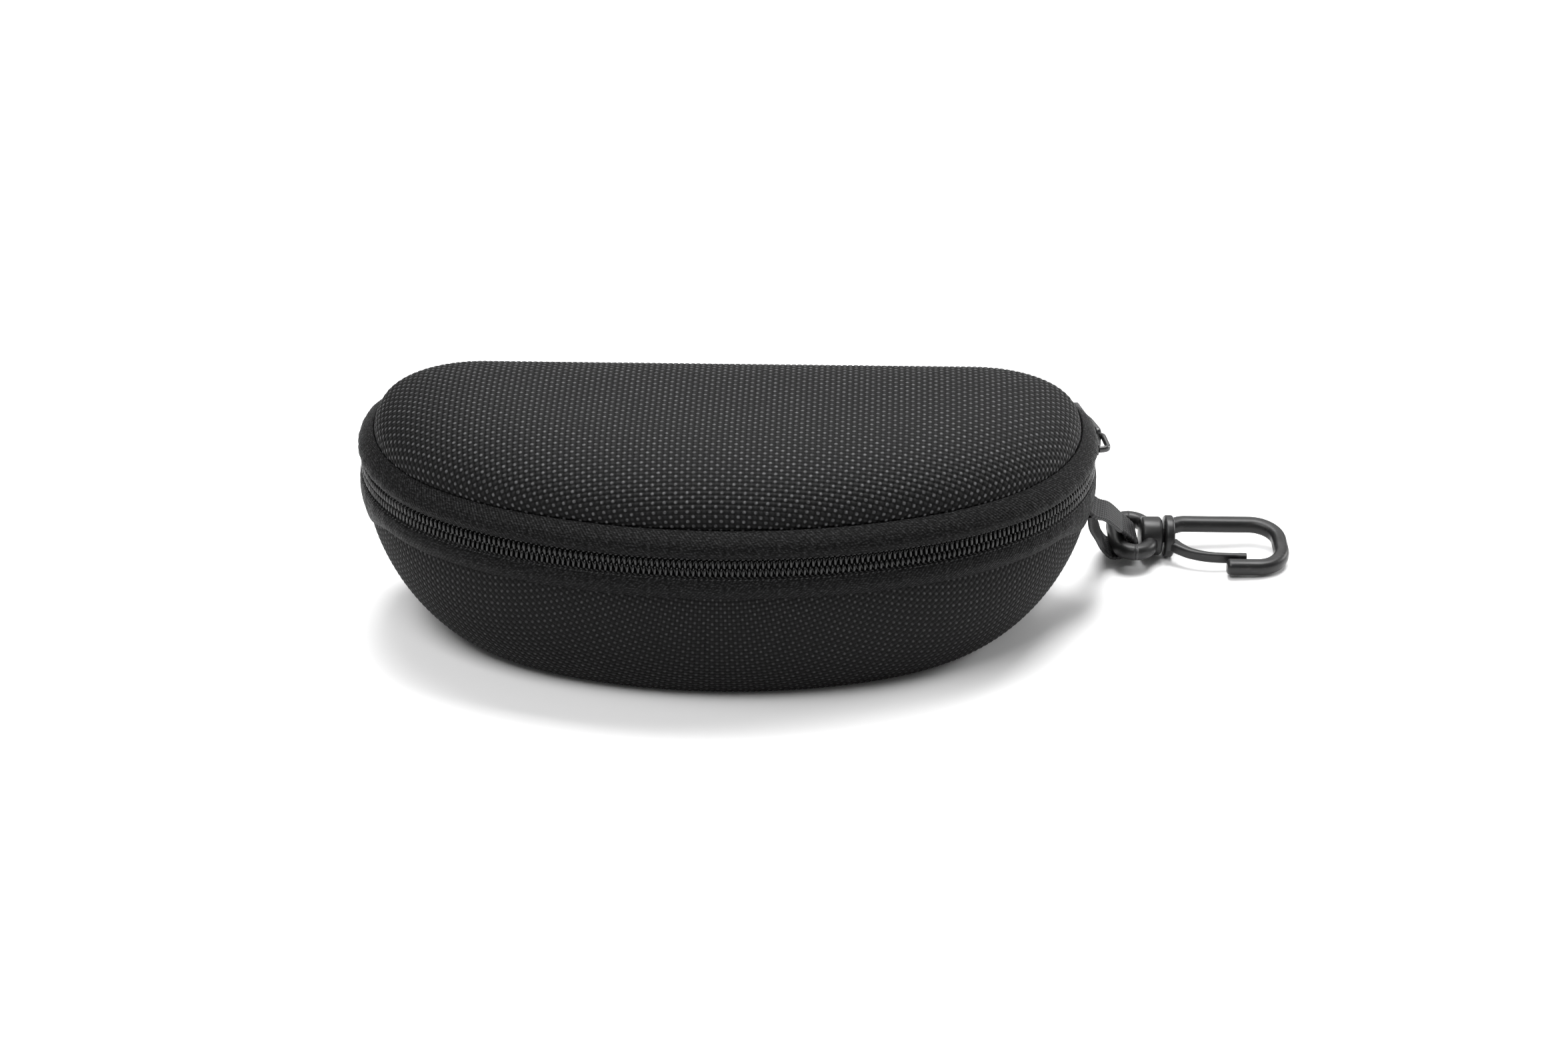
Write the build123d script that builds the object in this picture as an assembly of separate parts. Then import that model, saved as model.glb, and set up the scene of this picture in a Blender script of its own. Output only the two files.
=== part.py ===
from build123d import *
import math
import os

# Half-moon eyeglasses case: two moulded foam shells, a zip round the rim, a fabric hinge
# along the straight back, and a plastic swivel hook on a webbing loop at the right side.
# Millimetres. +Z is up, +X points along the width towards the hook, the zip's front is at -Y
# and the hinge at +Y. The origin is the middle of the flat face that the case rests on.

# ---- rim outline: right half from the front centre, as (radius, turn in degrees) ----
RIM_ARCS = ((126.0, 21.0), (74.0, 17.0), (47.0, 62.0), (16.5, 80.0))
RIM_FRONT_Y = -39.0
SLIDE_ARC = 2               # the arc that the zip slider runs along

# ---- heights ----
PARTING_Z = 37.0            # plane where the two zip coils meet
UPPER_GROOVE = 7.8          # groove between tape and shell, above the parting plane
LOWER_GROOVE = 7.5          # the same, below it
UPPER_RISE = 12.5           # groove to top of the upper shell

# ---- shell profiles: inset at the groove, then how far the wall rounds in ----
UPPER_INSET = 3.4
UPPER_ROUND = {"front": 27.0, "side": 33.0, "back": 24.0}
UPPER_POWER = 2.2
LOWER_INSET = 1.2
LOWER_ROUND = {"front": 12.5, "side": 23.0, "back": 12.5}
LOWER_POWER = 1.65

# ---- layers of a shell, outside to inside ----
FABRIC_T = 0.9
FOAM_T = 3.0
LINING_T = 0.6
WALL_T = FABRIC_T + FOAM_T + LINING_T

# ---- rim: zip tape, coil, edge binding ----
TAPE_T = 1.0
COIL_GAP = 1.4              # free height between the two coils
COIL_TOP = 2.0              # far face of a coil from the parting plane
COIL_W = 1.9
BINDING_T = 0.5
BINDING_GAP = 0.7           # binding to parting plane
BINDING_REACH = 4.5         # how far the binding runs up the inside
BINDING_SLOPE = 0.05        # slight fall of the binding over the foam's edge
FLANGE_INSET = 4.1          # straight collar of the foam behind the coil and tape
COLLAR_STEP = 1.0           # height over which the collar steps out to the shell
COIL_END_Y = 30.0           # the coils end here, on the rear corners

# ---- fabric hinge ----
HINGE_HALF_LENGTH = 56.0
HINGE_HALF_HEIGHT = 6.0
HINGE_T = 0.7
HINGE_GAP = 0.1
STITCH_PITCH = 4.0
STITCH_LENGTH = 2.6
STITCH_D = 0.5
STITCH_EDGE = 1.3           # stitch line from the edge of the hinge strip

# ---- zip slider and pull tab ----
SLIDER_LENGTH = 8.4
SLIDER_HALF_HEIGHT = 2.2
SLIDER_PLATE_T = 0.8
SLIDER_CLEARANCE = 0.4
SLIDER_INNER_OFFSET = 2.3
SLIDER_INNER_HALF_HEIGHT = 1.6
SLIDER_POST_HALF = 0.4
SLIDER_REST_HEADING = 100.0
BRIDGE_RISE = 2.6
BRIDGE_LENGTH = 8.0
BRIDGE_BAR = 0.8
BRIDGE_HALF_HEIGHT = 0.8
PIN_R = 0.6
PIN_ALONG = 2.3             # pull pin, behind the slider's middle
TAB_REST_DIRECTION = 109.0  # degrees from +X
TAB_LENGTH = 16.0
TAB_ARM = 6.8
TAB_HALF_HEIGHT = 2.4
TAB_HALF_T = 0.6

# ---- webbing loop ----
WEB_W = 9.6
WEB_T = 1.1
WEB_ROOT = (82.0, 13.5, 26.5)
WEB_ROOT_ACROSS = (0.08, 1.0, 0.0)
WEB_FROM_ROOT = (           # offset from the root, and share of the turn towards the eye's bar
    ((0.6, 0.0, 0.0), 0.0),
    ((3.4, 4.2, -3.0), 0.1),
    ((6.6, 13.0, -10.0), 0.45),
)
WEB_ROUND_BAR = (           # offset from the middle of the eye's far bar, and the same share
    ((0.2, -3.0, 5.4), 0.9),
    ((2.6, 0.0, 2.1), 1.0),
    ((4.4, 0.0, -0.2), 1.0),
    ((2.4, 0.0, -2.5), 1.0),
    ((-1.2, -0.6, -3.0), 1.0),
    ((-3.4, -3.0, 0.2), 0.9),
)
WEB_BACK_TO_ROOT = (
    ((1.4, 11.5, -11.5), 0.5),
    ((-0.1, 5.0, -5.6), 0.2),
    ((-0.6, 0.0, 0.0), 0.0),
)

# ---- swivel eye and hook, in their own frame: +X along the swivel, origin in the collar ----
HOOK_ORIGIN = (100.6, 42.5, 4.95)
HOOK_YAW = 4.9
HOOK_PITCH = 2.5
HOOK_ROLL = 9.0
EYE_ROLL = 3.0
COLLAR_R = 4.85
COLLAR_T = 2.2
EYE_GAP = 0.5
EYE_BLOCK_LENGTH = 5.0
EYE_BLOCK_R = 4.5
EYE_BAR_R = 1.9
EYE_FAR_X = -12.2           # centre of the bar that carries the webbing
EYE_HALF_W = 7.7
STEM_R = 1.6
STEM_CLEARANCE = 0.05
STEM_HEAD_R = 2.5
STEM_HEAD_T = 1.2
HOOK_BAR_R = 1.9
SPINE_Y = 4.8
NOSE_Y = -11.8
HOOK_TIP_X = 25.5
HOOK_CORNER_R = 6.3
NOSE_END_X = 13.2
GATE_T = 1.4
GATE_HALF_H = 1.3
GATE_PATH = ((2.0, -4.6), (4.6, -6.9), (9.5, -8.3), (17.0, -8.5))


def rim_arcs():
    """Right-hand arcs of the rim as (centre x, centre y, radius, start, end heading)."""
    x, y, heading = 0.0, RIM_FRONT_Y, 0.0
    arcs = []
    for radius, turn in RIM_ARCS:
        cx = x - radius * math.sin(heading)
        cy = y + radius * math.cos(heading)
        end = heading + math.radians(turn)
        arcs.append((cx, cy, radius, heading, end))
        x, y, heading = cx + radius * math.sin(end), cy - radius * math.cos(end), end
    return arcs


ARCS = rim_arcs()
HALF_WIDTH = ARCS[SLIDE_ARC][0] + ARCS[SLIDE_ARC][2]
BACK_Y = ARCS[-1][1] + ARCS[-1][2]
DEPTH = BACK_Y - RIM_FRONT_Y
SLIDE_CX, SLIDE_CY, SLIDE_R = ARCS[SLIDE_ARC][:3]


def on_arc(arc, heading, offset):
    """Point on one arc at a heading, moved inward by offset."""
    cx, cy, radius = arc[:3]
    return (cx + (radius - offset) * math.sin(heading), cy - (radius - offset) * math.cos(heading))


def mirrored(point):
    return (-point[0], point[1])


def rim_wire(offset, z):
    """Closed rim outline, moved inward by offset, at height z."""
    right = []
    for arc in ARCS:
        right.append(tuple(on_arc(arc, h, offset) for h in (arc[3], (arc[3] + arc[4]) / 2, arc[4])))
    edges = [Edge.make_three_point_arc(*[Vector(*p, z) for p in points]) for points in right]
    back = right[-1][2]
    edges.append(Edge.make_line(Vector(*back, z), Vector(*mirrored(back), z)))
    for start, middle, end in reversed(right):
        edges.append(Edge.make_three_point_arc(*[Vector(*mirrored(p), z) for p in (end, middle, start)]))
    return Wire(edges)


def rim_plate(offset, z0, z1):
    """Solid inside the rim outline between two heights."""
    return Solid.extrude(Face(rim_wire(offset, z0)), Vector(0, 0, z1 - z0))


def rim_ring(outer, inner, z0, z1):
    """Ring between two offsets of the rim outline."""
    low, high = min(z0, z1), max(z0, z1)
    return rim_plate(outer, low, high) - rim_plate(inner, low - 1, high + 1)


def rim_outline(per_arc=9, back_points=5):
    """Points round the whole rim, counter-clockwise from the front centre."""
    right = []
    for arc in ARCS:
        for k in range(per_arc):
            right.append(on_arc(arc, arc[3] + (arc[4] - arc[3]) * k / per_arc, 0.0))
    corner_x = on_arc(ARCS[-1], ARCS[-1][4], 0.0)[0]
    back = [(corner_x * (1 - 2 * k / back_points), BACK_Y) for k in range(back_points + 1)]
    left = [mirrored(p) for p in reversed(right[1:])]
    return right + back + left


OUTLINE = rim_outline()


def scaled_wire(front, side, back, z):
    """Rim outline shrunk to the given insets at height z, as one smooth closed edge."""
    scale_x = (HALF_WIDTH - side) / HALF_WIDTH
    scale_y = (DEPTH - front - back) / DEPTH
    points = [
        Vector(x * scale_x, RIM_FRONT_Y + front + (y - RIM_FRONT_Y) * scale_y, z) for x, y in OUTLINE
    ]
    return Wire([Edge.make_spline(points, periodic=True)])


def shell_size(upper):
    """Inset, rounding and power of a shell's outer surface."""
    if upper:
        return UPPER_INSET, UPPER_ROUND, UPPER_POWER
    return LOWER_INSET, LOWER_ROUND, LOWER_POWER


def shell_body(upper, depth, collar=None, steps=9):
    """Solid inside a shell's outer surface moved in by depth. A collar (inset, z) runs on to the rim."""
    inset, rounding, power = shell_size(upper)
    sign = 1 if upper else -1
    groove = PARTING_Z + UPPER_GROOVE if upper else PARTING_Z - LOWER_GROOVE
    rise = (UPPER_RISE if upper else -groove) - sign * depth
    wires = []
    if collar:
        collar_inset, rim_z = collar
        wires.append(scaled_wire(collar_inset, collar_inset, collar_inset, rim_z))
        if collar_inset > inset + depth:
            wires.append(scaled_wire(collar_inset, collar_inset, collar_inset, groove - sign * COLLAR_STEP))
    for k in range(steps + 1):
        t = math.radians(90.0 * k / steps)
        climb = math.sin(t) ** (2 / power)
        turn_in = 1 - math.cos(t) ** (2 / power) if k < steps else 1.0
        insets = [inset + depth + rounding[side] * turn_in for side in ("front", "side", "back")]
        wires.append(scaled_wire(*insets, groove + rise * climb))
    return Solid.make_loft(wires, ruled=True)


def shell_fabric(upper):
    """Outer woven skin of a shell, up to the groove beside the zip tape."""
    return shell_body(upper, 0.0) - shell_body(upper, FABRIC_T)


def shell_layer(upper, outer_t, inner_t):
    """Layer between two depths below the outer surface, with its collar behind the zip tape."""
    sign = 1 if upper else -1
    inset = shell_size(upper)[0]
    rim_z = PARTING_Z + sign * (BINDING_GAP + BINDING_T)
    outer = shell_body(upper, outer_t, (max(FLANGE_INSET, inset + outer_t), rim_z))
    inner = shell_body(upper, inner_t, (inset + inner_t, rim_z - sign))
    return outer - inner


def foam(upper):
    return shell_layer(upper, FABRIC_T, FABRIC_T + FOAM_T)


def lining(upper):
    return shell_layer(upper, FABRIC_T + FOAM_T, WALL_T)


def zip_tape(upper):
    """Bulging tape between the coil and the groove."""
    if upper:
        rows = ((0.6, COIL_TOP), (0.1, 2.8), (0.0, 4.2), (0.8, 6.0), (2.5, UPPER_GROOVE))
    else:
        rows = ((0.6, -COIL_TOP), (0.1, -2.8), (0.0, -4.6), (0.3, -6.2), (1.0, -LOWER_GROOVE))
    outer = Solid.make_loft([rim_wire(o, PARTING_Z + z) for o, z in rows], ruled=True)
    inner = Solid.make_loft([rim_wire(o + TAPE_T, PARTING_Z + z) for o, z in rows], ruled=True)
    return outer - inner


def zip_coil(upper):
    sign = 1 if upper else -1
    ring = rim_ring(0.0, COIL_W, PARTING_Z + sign * COIL_GAP / 2, PARTING_Z + sign * COIL_TOP)
    behind = Box(3 * HALF_WIDTH, DEPTH, DEPTH).moved(Location((0, COIL_END_Y + DEPTH / 2, PARTING_Z)))
    return ring - behind


def inset_loft(rows):
    """Solid through the scaled rim outline at (inset, height from the parting plane) rows."""
    return Solid.make_loft([scaled_wire(i, i, i, PARTING_Z + z) for i, z in rows], ruled=True)


def edge_binding(upper):
    """Tape folded over the cut edge of the foam, seen when the case is open."""
    sign = 1 if upper else -1
    wall = shell_size(upper)[0] + WALL_T
    near = BINDING_GAP
    far = near + BINDING_T
    outer_rows = ((FLANGE_INSET, near), (FLANGE_INSET, far - BINDING_SLOPE), (wall, far), (wall, BINDING_REACH))
    inner_rows = ((wall + BINDING_T, near - 1), (wall + BINDING_T, BINDING_REACH + 1))
    outer = inset_loft([(i, sign * z) for i, z in outer_rows])
    return outer - inset_loft([(i, sign * z) for i, z in inner_rows])


def corner_clip(side, heading_deg, upper, height):
    """Moulded zip stop clipped over the end of a coil on a rear corner."""
    sign = 1 if upper else -1
    x, y = on_arc(ARCS[-1], math.radians(heading_deg), COIL_W / 2)
    block = Box(COIL_W + 0.8, 2.2, height)
    block = fillet(block.edges().filter_by(Axis.Z), 0.5)
    spin = Location((0, 0, 0), (0, 0, heading_deg - 90))
    z = PARTING_Z + sign * (COIL_GAP / 2 + height / 2)
    placed = block.moved(spin).moved(Location((x, y, z)))
    return placed if side > 0 else mirror(placed, about=Plane.YZ)


def hinge_strip():
    """Fabric that joins the two shells along the straight back."""
    y = BACK_Y + HINGE_GAP + HINGE_T / 2
    strip = Box(2 * HINGE_HALF_LENGTH, HINGE_T, 2 * HINGE_HALF_HEIGHT)
    return fillet(strip.edges().filter_by(Axis.Y), 1.5).moved(Location((0, y, PARTING_Z)))


def inner_hinge_strip():
    """Narrow inside strip that closes the gap between the two bindings."""
    y = BACK_Y - COIL_W
    return Box(2 * HINGE_HALF_LENGTH, HINGE_T, 2 * BINDING_GAP - 0.1).moved(Location((0, y, PARTING_Z)))


def hinge_stitches(upper):
    """Row of lockstitches along one edge of the hinge strip."""
    sign = 1 if upper else -1
    z = PARTING_Z + sign * (HINGE_HALF_HEIGHT - STITCH_EDGE)
    y = BACK_Y + HINGE_GAP + HINGE_T + STITCH_D / 2
    count = int(2 * (HINGE_HALF_LENGTH - 3) / STITCH_PITCH)
    stitches = []
    for k in range(count + 1):
        x = (k - count / 2) * STITCH_PITCH
        stitches.append(Box(STITCH_LENGTH, STITCH_D, STITCH_D).moved(Location((x, y, z))))
    return Compound(stitches)


def arc_plate(near, far, half_length, half_height, heading_deg):
    """Curved plate that follows the slider's arc, between two offsets."""
    half_turn = math.degrees(half_length / SLIDE_R)
    start, end = math.radians(heading_deg - half_turn), math.radians(heading_deg + half_turn)
    middle = (start + end) / 2
    arc = ARCS[SLIDE_ARC]
    outer = [Vector(*on_arc(arc, h, near), 0) for h in (start, middle, end)]
    inner = [Vector(*on_arc(arc, h, far), 0) for h in (end, middle, start)]
    wire = Wire([
        Edge.make_three_point_arc(*outer),
        Edge.make_line(outer[2], inner[0]),
        Edge.make_three_point_arc(*inner),
        Edge.make_line(inner[2], outer[0]),
    ])
    plate = Solid.extrude(Face(wire), Vector(0, 0, 2 * half_height))
    return plate.moved(Location((0, 0, PARTING_Z - half_height)))


SLIDER_OUT_NEAR = -SLIDER_CLEARANCE
SLIDER_OUT_FAR = -SLIDER_CLEARANCE - SLIDER_PLATE_T
BRIDGE_OUT = SLIDER_OUT_FAR - BRIDGE_RISE
PIN_OFFSET = SLIDER_OUT_FAR - (BRIDGE_RISE - BRIDGE_BAR) / 2


def slider_body():
    """Two curved plates joined by the thin post that runs between the coils."""
    half = SLIDER_LENGTH / 2
    inner_far = SLIDER_INNER_OFFSET + SLIDER_PLATE_T
    outer = arc_plate(SLIDER_OUT_FAR, SLIDER_OUT_NEAR, half, SLIDER_HALF_HEIGHT, SLIDER_REST_HEADING)
    inner = arc_plate(
        SLIDER_INNER_OFFSET, inner_far, half - 1, SLIDER_INNER_HALF_HEIGHT, SLIDER_REST_HEADING
    )
    post = arc_plate(SLIDER_OUT_FAR + 0.1, inner_far - 0.1, 1.5, SLIDER_POST_HALF, SLIDER_REST_HEADING)
    outer = fillet(outer.edges().filter_by(lambda e: e.length < SLIDER_PLATE_T * 1.1), 0.35)
    return outer + inner + post


def slider_bridge():
    """Arched bridge on the outer plate that carries the pull."""
    half = BRIDGE_LENGTH / 2
    full = arc_plate(BRIDGE_OUT, SLIDER_OUT_FAR, half, BRIDGE_HALF_HEIGHT, SLIDER_REST_HEADING)
    hole = arc_plate(
        BRIDGE_OUT + BRIDGE_BAR, SLIDER_OUT_FAR + 1, half - BRIDGE_BAR, 2 * BRIDGE_HALF_HEIGHT,
        SLIDER_REST_HEADING,
    )
    return full - hole


PIN_HEADING = SLIDER_REST_HEADING + math.degrees(PIN_ALONG / SLIDE_R)
PIN_X, PIN_Y = on_arc(ARCS[SLIDE_ARC], math.radians(PIN_HEADING), PIN_OFFSET)


def pull_tab():
    """Pull with a pin through the bridge, two arms and a grip, built along +X from the pin."""
    pin = Cylinder(PIN_R, 2 * TAB_HALF_HEIGHT)
    arm_t = TAB_HALF_HEIGHT - BRIDGE_HALF_HEIGHT - 0.3
    arm_z = TAB_HALF_HEIGHT - arm_t / 2
    arms = []
    for sign in (1, -1):
        bar = Box(TAB_ARM, 2 * TAB_HALF_T, arm_t).moved(Location((TAB_ARM / 2, 0, sign * arm_z)))
        knuckle = Cylinder(TAB_HALF_T, arm_t).moved(Location((0, 0, sign * arm_z)))
        arms.append(bar + knuckle)
    grip_length = TAB_LENGTH - TAB_ARM
    grip = Box(grip_length, 2 * TAB_HALF_T, 2 * TAB_HALF_HEIGHT)
    grip = fillet(grip.edges().filter_by(Axis.Y), 1.2)
    grip = grip.moved(Location((TAB_ARM + grip_length / 2 - 0.3, 0, 0)))
    tab = pin + arms[0] + arms[1] + grip
    return tab.moved(Location((PIN_X, PIN_Y, PARTING_Z), (0, 0, TAB_REST_DIRECTION)))


def hook_place(roll):
    """Placement of the swivel's own frame on the table."""
    turn = Location((0, 0, 0), (0, 0, HOOK_YAW)) * Location((0, 0, 0), (0, HOOK_PITCH, 0))
    return Location(HOOK_ORIGIN) * turn * Location((0, 0, 0), (roll, 0, 0))


def swept_bar(points, radii, bar_r):
    """Round bar along a flat path with rounded corners."""
    path = FilletPolyline(*[(x, y, 0) for x, y in points], radius=radii)
    start = Plane(path @ 0, z_dir=path % 0)
    return sweep(start * Circle(bar_r), path=path)


def swivel_eye():
    """Closed eye: an oval bar for the webbing and a block bored for the hook's stem."""
    near_x = -COLLAR_T / 2 - EYE_GAP
    block_x = near_x - EYE_BLOCK_LENGTH / 2
    block = Cylinder(EYE_BLOCK_R, EYE_BLOCK_LENGTH, rotation=(0, 90, 0)).moved(Location((block_x, 0, 0)))
    block = fillet(block.edges(), 0.8)
    bar_x = near_x - EYE_BLOCK_LENGTH + EYE_BAR_R
    half = EYE_HALF_W
    corner = 5.0
    path = ((bar_x, 0.5), (bar_x, half), (EYE_FAR_X, half), (EYE_FAR_X, -half), (bar_x, -half), (bar_x, -0.5))
    radii = [2.4, corner - 1, corner - 1, 2.4]
    bar = swept_bar(path, radii, EYE_BAR_R)
    eye = block + bar
    bore = Cylinder(STEM_R + STEM_CLEARANCE, 4 * EYE_BLOCK_LENGTH, rotation=(0, 90, 0))
    bore = bore.moved(Location((block_x, 0, 0)))
    head_room = Cylinder(STEM_HEAD_R + 0.3, 3.0, rotation=(0, 90, 0))
    head_room = head_room.moved(Location((near_x - EYE_BLOCK_LENGTH + 0.3, 0, 0)))
    far_keep = Box(40, 40, 40).moved(Location((EYE_FAR_X + EYE_BAR_R + 20, 0, 0)))
    return (eye - (bore & far_keep) - head_room).moved(hook_place(EYE_ROLL))


def snap_hook():
    """Collar with its stem into the eye, a straight spine, a rounded end and the nose."""
    collar = Cylinder(COLLAR_R, COLLAR_T, rotation=(0, 90, 0))
    collar = fillet(collar.edges(), 0.6)
    head_x = -COLLAR_T / 2 - EYE_GAP - EYE_BLOCK_LENGTH + 1.0
    stem_length = -head_x
    stem = Cylinder(STEM_R, stem_length, rotation=(0, 90, 0)).moved(Location((head_x / 2, 0, 0)))
    head = Cylinder(STEM_HEAD_R, STEM_HEAD_T, rotation=(0, 90, 0)).moved(Location((head_x, 0, 0)))
    path = (
        (-0.4, SPINE_Y - 1.9), (3.4, SPINE_Y), (HOOK_TIP_X, SPINE_Y), (HOOK_TIP_X, NOSE_Y),
        (NOSE_END_X, NOSE_Y),
    )
    loop = swept_bar(path, [4.0, HOOK_CORNER_R, HOOK_CORNER_R], HOOK_BAR_R)
    return (collar + stem + head + loop).moved(hook_place(HOOK_ROLL))


def gate_tongue():
    """Springy tongue that closes the hook between the collar and the nose."""
    centre = Edge.make_spline([Vector(x, y, 0) for x, y in GATE_PATH])
    sides = []
    for sign in (1, -1):
        points = []
        for k in range(9):
            at = centre.position_at(k / 8)
            along = centre.tangent_at(k / 8)
            width = GATE_T / 2 + (1 - k / 8) ** 3 * 0.5
            points.append(Vector(at.X - sign * along.Y * width, at.Y + sign * along.X * width, -GATE_HALF_H))
        sides.append(points)
    wire = Wire([
        Edge.make_spline(sides[0]),
        Edge.make_line(sides[0][-1], sides[1][-1]),
        Edge.make_spline(list(reversed(sides[1]))),
        Edge.make_line(sides[1][0], sides[0][0]),
    ])
    blade = Solid.extrude(Face(wire), Vector(0, 0, 2 * GATE_HALF_H))
    return blade.moved(hook_place(HOOK_ROLL))


def local_point(x, y, z, roll):
    """A point of the swivel's own frame, in the case's frame."""
    return (hook_place(roll) * Location((x, y, z))).position


def webbing_loop():
    """Folded webbing from the seam under the tape, round the eye's far bar and back."""
    bar = local_point(EYE_FAR_X, 0, 0, EYE_ROLL)
    across_end = local_point(EYE_FAR_X, 1, 0, EYE_ROLL) - bar
    across_root = Vector(*WEB_ROOT_ACROSS).normalized()
    root = Vector(*WEB_ROOT)
    stations = [(root + Vector(*offset), turn) for offset, turn in WEB_FROM_ROOT]
    stations += [(bar + Vector(*offset), turn) for offset, turn in WEB_ROUND_BAR]
    stations += [(root + Vector(*offset), turn) for offset, turn in WEB_BACK_TO_ROOT]
    sections = []
    for k, (centre, turn) in enumerate(stations):
        before = stations[max(k - 1, 0)][0]
        after = stations[min(k + 1, len(stations) - 1)][0]
        across = (across_root * (1 - turn) + across_end * turn).normalized()
        normal = (after - before).cross(across).normalized() * (WEB_T / 2)
        side = across * (WEB_W / 2)
        corners = (side + normal, normal - side, -side - normal, side - normal)
        sections.append(Wire.make_polygon([centre + c for c in corners], close=True))
    loop = Solid.make_loft(sections[:2], ruled=True)
    for first, second in zip(sections[1:], sections[2:]):
        loop += Solid.make_loft([first, second], ruled=True)
    return loop


def nodes():
    stop_h = COIL_TOP - COIL_GAP / 2
    return {
        "lower_shell_fabric": shell_fabric(False),
        "lower_shell_foam": foam(False),
        "lower_lining": lining(False),
        "lower_zip_tape": zip_tape(False),
        "lower_zip_coil": zip_coil(False),
        "lower_edge_binding": edge_binding(False),
        "lower_end_stop": corner_clip(1, 128.0, False, stop_h),
        "bottom_stop": corner_clip(-1, 128.0, False, stop_h),
        "hinge_fabric": hinge_strip(),
        "hinge_inner_strip": inner_hinge_strip(),
        "lower_hinge_stitching": hinge_stitches(False),
        "upper_shell_fabric": shell_fabric(True),
        "upper_shell_foam": foam(True),
        "upper_lining": lining(True),
        "upper_zip_tape": zip_tape(True),
        "upper_zip_coil": zip_coil(True),
        "upper_edge_binding": edge_binding(True),
        "upper_end_stop": corner_clip(1, 128.0, True, stop_h),
        "upper_hinge_stitching": hinge_stitches(True),
        "zip_slider_body": slider_body(),
        "zip_slider_bridge": slider_bridge(),
        "pull_tab": pull_tab(),
        "webbing_loop": webbing_loop(),
        "swivel_eye": swivel_eye(),
        "snap_hook": snap_hook(),
        "hook_gate": gate_tongue(),
    }


os.makedirs("parts", exist_ok=True)
for name, shape in nodes().items():
    export_step(shape, "parts/" + name + ".step")

gate_hinge = local_point(GATE_PATH[0][0], GATE_PATH[0][1], 0, HOOK_ROLL)
swivel_axis = local_point(1, 0, 0, 0) - local_point(0, 0, 0, 0)
gate_axis = local_point(0, 0, 1, HOOK_ROLL) - local_point(0, 0, 0, HOOK_ROLL)
eye_bar = local_point(EYE_FAR_X, 0, 0, EYE_ROLL)
eye_axis = local_point(0, 1, 0, EYE_ROLL) - local_point(0, 0, 0, EYE_ROLL)
print("half width", HALF_WIDTH, "back y", BACK_Y)
print("slider arc centre", SLIDE_CX, SLIDE_CY, "radius", SLIDE_R)
print("pull pin", PIN_X, PIN_Y)
print("swivel axis", swivel_axis, "gate hinge", gate_hinge, "gate axis", gate_axis)
print("eye bar", eye_bar, "eye axis", eye_axis)
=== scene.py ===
import math

import bmesh
import bpy
import numpy as np
from mathutils import Matrix, Vector


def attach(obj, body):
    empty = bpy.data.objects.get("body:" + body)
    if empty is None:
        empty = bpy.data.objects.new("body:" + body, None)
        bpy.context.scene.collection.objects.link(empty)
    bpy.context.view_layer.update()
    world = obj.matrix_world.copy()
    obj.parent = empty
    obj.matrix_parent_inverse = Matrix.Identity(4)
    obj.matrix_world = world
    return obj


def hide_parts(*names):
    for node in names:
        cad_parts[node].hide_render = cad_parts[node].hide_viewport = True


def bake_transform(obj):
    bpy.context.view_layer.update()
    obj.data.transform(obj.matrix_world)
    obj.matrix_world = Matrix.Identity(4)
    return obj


# Half-moon eyeglasses case in coarse black fabric, with a nylon coil zip round the rim and a
# plastic swivel hook on a webbing loop. Shapes are worked out in millimetres and turned into
# metres when a mesh is made. Fabric pieces carry point attributes that their materials read:
# "cloth" is the place on the cloth and "relief" the height of the weave, from 0 to 1.

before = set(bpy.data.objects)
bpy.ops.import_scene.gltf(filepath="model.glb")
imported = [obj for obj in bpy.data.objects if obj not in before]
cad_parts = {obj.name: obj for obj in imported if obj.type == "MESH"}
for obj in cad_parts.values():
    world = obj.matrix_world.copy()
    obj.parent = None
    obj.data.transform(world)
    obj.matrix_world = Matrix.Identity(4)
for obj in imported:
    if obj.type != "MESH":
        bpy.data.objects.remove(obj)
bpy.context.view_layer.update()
MM = 0.001

# ---- rim outline: right half from the front centre, as (radius, turn in degrees) ----
RIM_ARCS = ((126.0, 21.0), (74.0, 17.0), (47.0, 62.0), (16.5, 80.0))
RIM_FRONT_Y = -39.0
SLIDE_ARC = 2

# ---- heights and shell profiles ----
PARTING_Z = 37.0
UPPER_GROOVE = 7.8
LOWER_GROOVE = 7.5
UPPER_RISE = 12.5
UPPER_INSET = 3.4
UPPER_ROUND = (27.0, 33.0, 24.0)        # front, side, back
UPPER_POWER = 2.2
LOWER_INSET = 1.2
LOWER_ROUND = (12.5, 23.0, 12.5)
LOWER_POWER = 1.65
WALL_T = 4.5
LINING_GAP = 0.05                       # lining surface inside the foam's lining layer

# ---- weave of the shell fabric ----
WARP_PITCH = 1.27
WEFT_PITCH = 1.07
WEAVE_STEPS = 4                         # mesh steps across one thread
WEAVE_DEPTH = 0.4
WEAVE_ROUND = 0.55                      # share of the depth that is the thread's own roundness
TUCK = 1.3                              # how far the cloth runs on behind the tape

# ---- zip ----
TOOTH_PITCH = 1.2
COIL_END_Y = 30.0
COIL_WIRE_R = 0.33
STITCH_R = 0.17

# ---- hinge strip ----
HINGE_HALF_LENGTH = 56.0
HINGE_HALF_HEIGHT = 6.0
HINGE_GAP = 0.1
HINGE_T = 0.7
HINGE_STITCH_PITCH = 4.0
HINGE_STITCH_LENGTH = 2.6
HINGE_STITCH_EDGE = 1.3

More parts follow.
